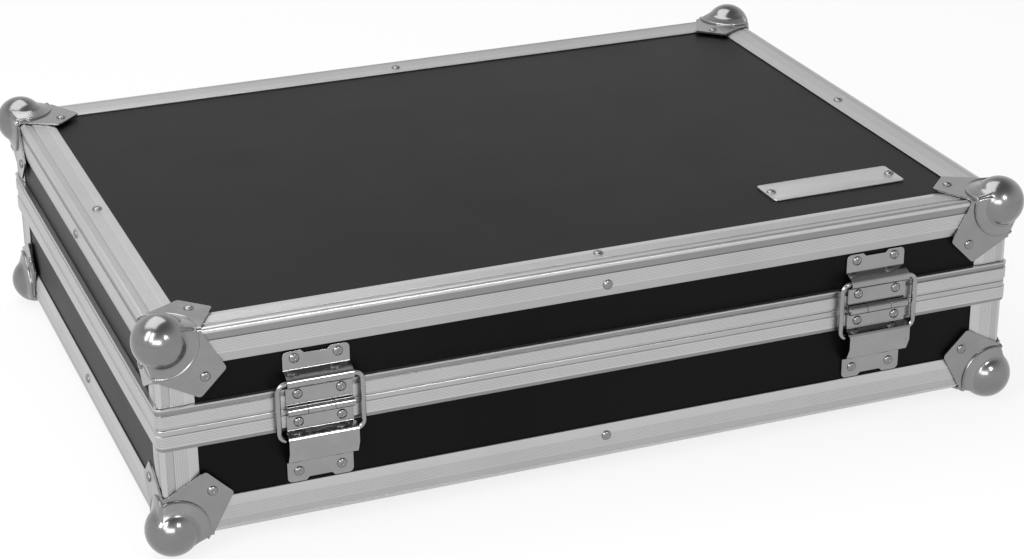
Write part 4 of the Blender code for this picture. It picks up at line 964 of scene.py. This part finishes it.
def build_handle(steel, rivet_steel, rubber):
    outward = Vector((0, 1, 0))
    for side, sign in SIDES:
        place = latch_place(sign * HANDLE_OFFSET)
        seat = arc((PIVOT_REACH, PIVOT_RISE), 0.0040, 62, -62, 12)
        line = [(ON_PANEL, 0.0565), (ON_PANEL, PIVOT_RISE + 0.0049)]
        tail = [(ON_PANEL, PIVOT_RISE - 0.0049), (ON_PANEL, 0.0265)]
        bm = bmesh.new()
        full = fillet(line + seat[:1], 0.0006) + seat[1:-1] + fillet(seat[-1:] + tail, 0.0006)
        sheet(bm, full, 0.012, place, (0.0008, 0.0030))
        stand_in(f"handle_bracket_{side}", "pressed", bm, steel, "base", bevel=SHEET_BEVEL)
        centers = [place(ON_PANEL, 0.0307, along) for along in (-0.0065, 0.0065)]
        rivets(f"handle_{side}_rivets", "base", rivet_steel, centers, outward)
    place = latch_place(0.0)
    lean = (GRIP_REACH - PIVOT_REACH) / GRIP_DROP
    half = [(0.0620, 0.0)] + arc((0.0395, 0.0060), 0.0060, -90, -180, 8)
    half += arc((0.0275, 0.0280), 0.0060, 0, 90, 8)
    flat = half + [(-along, drop) for along, drop in reversed(half)]
    bm = bmesh.new()
    points = [place(PIVOT_REACH + drop * lean, PIVOT_RISE - drop, along) for along, drop in flat]
    tube(bm, points, BAIL_WIRE, 20)
    pitch = 2 * GRIP_HALF / GRIP_RIBS
    rib = ((0.0, 0.0038), (0.14, 0.0043), (0.30, 0.0044), (0.70, 0.0044), (0.86, 0.0043))
    marks = [(-GRIP_HALF + 2 * GRIP_HALF * index / GRIP_RIBS + pitch * share, radius)
             for index in range(GRIP_RIBS) for share, radius in rib]
    marks.append((GRIP_HALF, 0.0038))
    grip = [place(GRIP_REACH, PIVOT_RISE - GRIP_DROP, along) for along, radius in marks]
    tube(bm, grip, [radius for along, radius in marks], 28, paint=1)
    stand_in("handle_bail", "wire", bm, (steel, rubber), "bail", angle=50)


# Foam

FOAM_X = 0.2628
FOAM_Y = 0.1858
FOAM_INSET = 0.0091
POCKET_A, POCKET_B, POCKET_CORNER = 0.029, 0.080, 0.008
POCKET_DEPTH = 0.045


def soft_height(x, y, amount):
    """Slight unevenness of a cut foam face."""
    wave = math.sin(x * 61 + y * 23) + math.sin(x * 27 - y * 71 + 1.3) + math.sin(x * 131 + y * 97 + 0.4)
    return wave * amount / 3


def close_solid(bm, level):
    """Draw the open border of a relief straight to a level and close it there."""
    bmesh.ops.remove_doubles(bm, verts=bm.verts, dist=MERGE_DISTANCE)
    border = [edge for edge in bm.edges if edge.is_boundary]
    drawn = bmesh.ops.extrude_edge_only(bm, edges=border)["geom"]
    for item in drawn:
        if isinstance(item, bmesh.types.BMVert):
            item.co.z = level
    rim = [item for item in drawn if isinstance(item, bmesh.types.BMEdge) and item.is_boundary]
    bmesh.ops.contextual_create(bm, geom=rim)


def cell_border(pocket, half_a, half_b):
    """The pocket's outline carried out to the borders of its cell, point for point."""
    border = []
    for a, b in pocket:
        over_a = abs(a) - (POCKET_A - POCKET_CORNER)
        over_b = abs(b) - (POCKET_B - POCKET_CORNER)
        if over_a > over_b - 0.00001:
            a = math.copysign(half_a, a)
        if over_b > over_a - 0.00001:
            b = math.copysign(half_b, b)
        border.append((a, b))
    return border


def build_foam(foam):
    """Insert with twelve pockets: rolled rims, straight walls and rounded floors."""
    low = CASE_LOW + FOAM_INSET
    high = SEAM - 0.0050
    floor = high - POCKET_DEPTH
    half_a, half_b = FOAM_X / 6, FOAM_Y / 2
    pocket = rounded_rectangle(POCKET_A, POCKET_B, POCKET_CORNER, 8)
    levels = [(cell_border(pocket, half_a, half_b), high - 0.0003)]
    for grow, drop in ((0.0024, 0.0), (0.0010, -0.0004), (0.0003, -0.0013), (0.0, -0.0028)):
        levels.append(([(a + math.copysign(grow, a), b + math.copysign(grow, b)) for a, b in pocket],
                       high - 0.0003 + drop))
    for share_a, share_b, rise in ((1.0, 1.0, 0.0040), (0.97, 0.99, 0.0015), (0.90, 0.965, 0.0004),
                                   (0.60, 0.86, 0.0), (0.02, 0.60, 0.0)):
        levels.append(([(a * share_a, b * share_b) for a, b in pocket], floor + rise))
    bm = bmesh.new()
    for row in (-1, 1):
        for column in range(6):
            x, y = (2 * column - 5) * half_a, row * half_b
            rings = [[Vector((x + a, y + b, level + soft_height(x + a, y + b, 0.0003))) for a, b in outline]
                     for outline, level in levels]
            loft(bm, rings, closed_points=True)
            bm.faces.new([bm.verts.new(point) for point in rings[-1]])
    close_solid(bm, low)
    insert = stand_in("foam_insert", "cut", bm, foam, "base", angle=50, bevel=0.0012)


def build_lid_foam(foam):
    """Convoluted pad: its lower face rises and falls like an egg tray."""
    high = CASE_HIGH - FOAM_INSET
    low = high - 0.038
    columns, rows, pitch = 144, 102, 0.0292
    bm = bmesh.new()
    rings = []
    for row in range(rows + 1):
        y = -FOAM_Y + 2 * FOAM_Y * row / rows
        ring = []
        for column in range(columns + 1):
            x = -FOAM_X + 2 * FOAM_X * column / columns
            wave = math.sin(2 * math.pi * x / pitch) * math.sin(2 * math.pi * y / pitch)
            edge = min(FOAM_X - abs(x), FOAM_Y - abs(y), 0.006) / 0.006
            ring.append(Vector((x, y, low + 0.0004 + 0.006 * (1 - wave) * edge)))
        rings.append(ring)
    loft(bm, rings)
    close_solid(bm, high)
    pad = stand_in("lid_foam_pad", "waved", bm, foam, "lid", angle=50)


# Light, floor and camera

FLOOR_HALF = 6.0
FLOOR_GLOW = 0.82
SOFT_LIGHT = 0.5
# Backdrop's grey from the horizon to overhead
BACKDROP = ((0.0, 1.0), (0.2, 1.0), (0.5, 0.85), (0.70, 0.52), (0.88, 0.30), (1.0, 0.26))
LIGHT_AIM = (0, 0, 0.07)
# Each lamp's place, width, height, power and shape
LAMPS = {
    "overhead softbox": ((-0.35, 0.45, 1.6), 1.8, 1.3, 19, "RECTANGLE"),
    "left window": ((-1.35, -0.55, 1.0), 0.22, 0.8, 6, "RECTANGLE"),
    "left window pane": ((-1.10, -0.95, 1.0), 0.22, 0.8, 6, "RECTANGLE"),
    "front lamp": ((0.25, -1.5, 1.05), 0.28, 0.28, 5, "DISK"),
    "camera softbox": ((-0.95, -1.9, 0.75), 1.2, 0.5, 11, "RECTANGLE"),
}


def background_rays(owner):
    """One for camera, glossy and transmission rays, so that metal shows the pale background too."""
    path = add_node(owner, "ShaderNodeLightPath")
    value = path.outputs["Is Camera Ray"]
    for name in ("Is Glossy Ray", "Is Transmission Ray"):
        either = add_node(owner, "ShaderNodeMath")
        either.operation = "MAXIMUM"
        wire(owner, value, either.inputs[0])
        wire(owner, path.outputs[name], either.inputs[1])
        value = either.outputs[0]
    return value


def show_mix(owner, output, share, first, second):
    """Send two shaders to the output, with the share that the second one has."""
    mix = add_node(owner, "ShaderNodeMixShader")
    wire(owner, share, mix.inputs["Fac"])
    wire(owner, first.outputs[0], mix.inputs[1])
    wire(owner, second.outputs[0], mix.inputs[2])
    wire(owner, mix.outputs[0], add_node(owner, output).inputs["Surface"])


def build_stage():
    mesh = bpy.data.meshes.new("floor")
    corners = [(x * FLOOR_HALF, y * FLOOR_HALF, 0) for x, y in ((-1, -1), (1, -1), (1, 1), (-1, 1))]
    mesh.from_pydata(corners, [], [(0, 1, 2, 3)])
    floor = new_object("floor", mesh)
    material = bpy.data.materials.new("Pale floor")
    material.use_nodes = True
    material.node_tree.nodes.clear()
    diffuse = add_node(material, "ShaderNodeBsdfDiffuse", Color=(0.8, 0.8, 0.8, 1.0))
    glow = add_node(material, "ShaderNodeEmission", Color=(1.0, 1.0, 1.0, 1.0))
    share = add_node(material, "ShaderNodeMath")
    share.operation = "MULTIPLY"
    share.inputs[1].default_value = FLOOR_GLOW
    wire(material, background_rays(material), share.inputs[0])
    show_mix(material, "ShaderNodeOutputMaterial", share.outputs[0], diffuse, glow)
    mesh.materials.append(material)


def build_world():
    """Pale studio: white at the horizon and greyer overhead."""
    world = bpy.data.worlds.new("studio")
    bpy.context.scene.world = world
    world.use_nodes = True
    world.node_tree.nodes.clear()
    soft = add_node(world, "ShaderNodeBackground", Color=(1.0, 1.0, 1.0, 1.0), Strength=SOFT_LIGHT)
    backdrop = add_node(world, "ShaderNodeBackground")
    coordinates = add_node(world, "ShaderNodeTexCoord")
    split = add_node(world, "ShaderNodeSeparateXYZ")
    wire(world, coordinates.outputs["Generated"], split.inputs[0])
    wire(world, ramp(world, split.outputs["Z"], BACKDROP), backdrop.inputs["Color"])
    show_mix(world, "ShaderNodeOutputWorld", background_rays(world), soft, backdrop)


def build_lights():
    for name, (place, width, height, power, shape) in LAMPS.items():
        data = bpy.data.lights.new(name, "AREA")
        data.shape = shape
        data.size = width
        data.size_y = height
        data.energy = power
        lamp = new_object(name, data)
        lamp.location = place
        lamp.rotation_mode = "QUATERNION"
        lamp.rotation_quaternion = (Vector(LIGHT_AIM) - Vector(place)).to_track_quat("-Z", "Y")


def build_camera():
    """The view of the photo, solved from the case's edges and corners."""
    data = bpy.data.cameras.new("camera")
    data.sensor_width = 36
    data.lens = 86.75
    data.clip_start = 0.05
    data.clip_end = 30
    camera = new_object("camera", data)
    right = Vector((0.9296, -0.3685, -0.0066))
    up = Vector((0.1549, 0.3744, 0.9142))
    turn = Matrix((right, up, right.cross(up))).transposed()
    camera.matrix_world = Matrix.Translation((-0.5389, -1.4136, 0.7180)) @ turn.to_4x4()
    bpy.context.scene.camera = camera


def dress_nodes(laminate, steel):
    """The panels keep their modelled shape and get soft edges and laminate."""
    for name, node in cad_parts.items():
        is_panel = "panel" in name or name.endswith("_wall")
        node.data.materials.clear()
        node.data.materials.append(laminate if is_panel else steel)
        if is_panel:
            add_bevel(node, 0.0003)


def main():
    build_camera()
    # One satin aluminium in three copies: painted light, a painted mid tone and painted shade for the
    # stretches of the profiles and band
    aluminium = [make_aluminium(f"{name} aluminium", color)
                 for name, color in (("Painted light satin", 0.50), ("Satin", 0.41), ("Painted shade", 0.27))]
    steel = make_steel()
    satin_steel = make_steel("Satin plated steel", 0.27, (0.20, 0.30), 0.2)
    rivet_steel = make_steel("Rivet steel", 0.24, (0.14, 0.26), 0.2)
    dress_nodes(make_laminate(), steel)
    build_edges(aluminium, rivet_steel)
    build_band(aluminium)
    ball_steel = make_steel("Polished steel", 0.23, (0.16, 0.25), 0.12)
    build_ball_corners((ball_steel, satin_steel, rivet_steel))
    build_hinges(steel, rivet_steel)
    build_badge(make_badge(), rivet_steel)
    build_latches(steel, rivet_steel)
    build_handle(steel, rivet_steel, make_rubber())
    foam = make_foam()
    build_foam(foam)
    build_lid_foam(foam)
    build_stage()
    build_world()
    build_lights()
    bpy.context.scene.view_settings.view_transform = "Standard"


main()
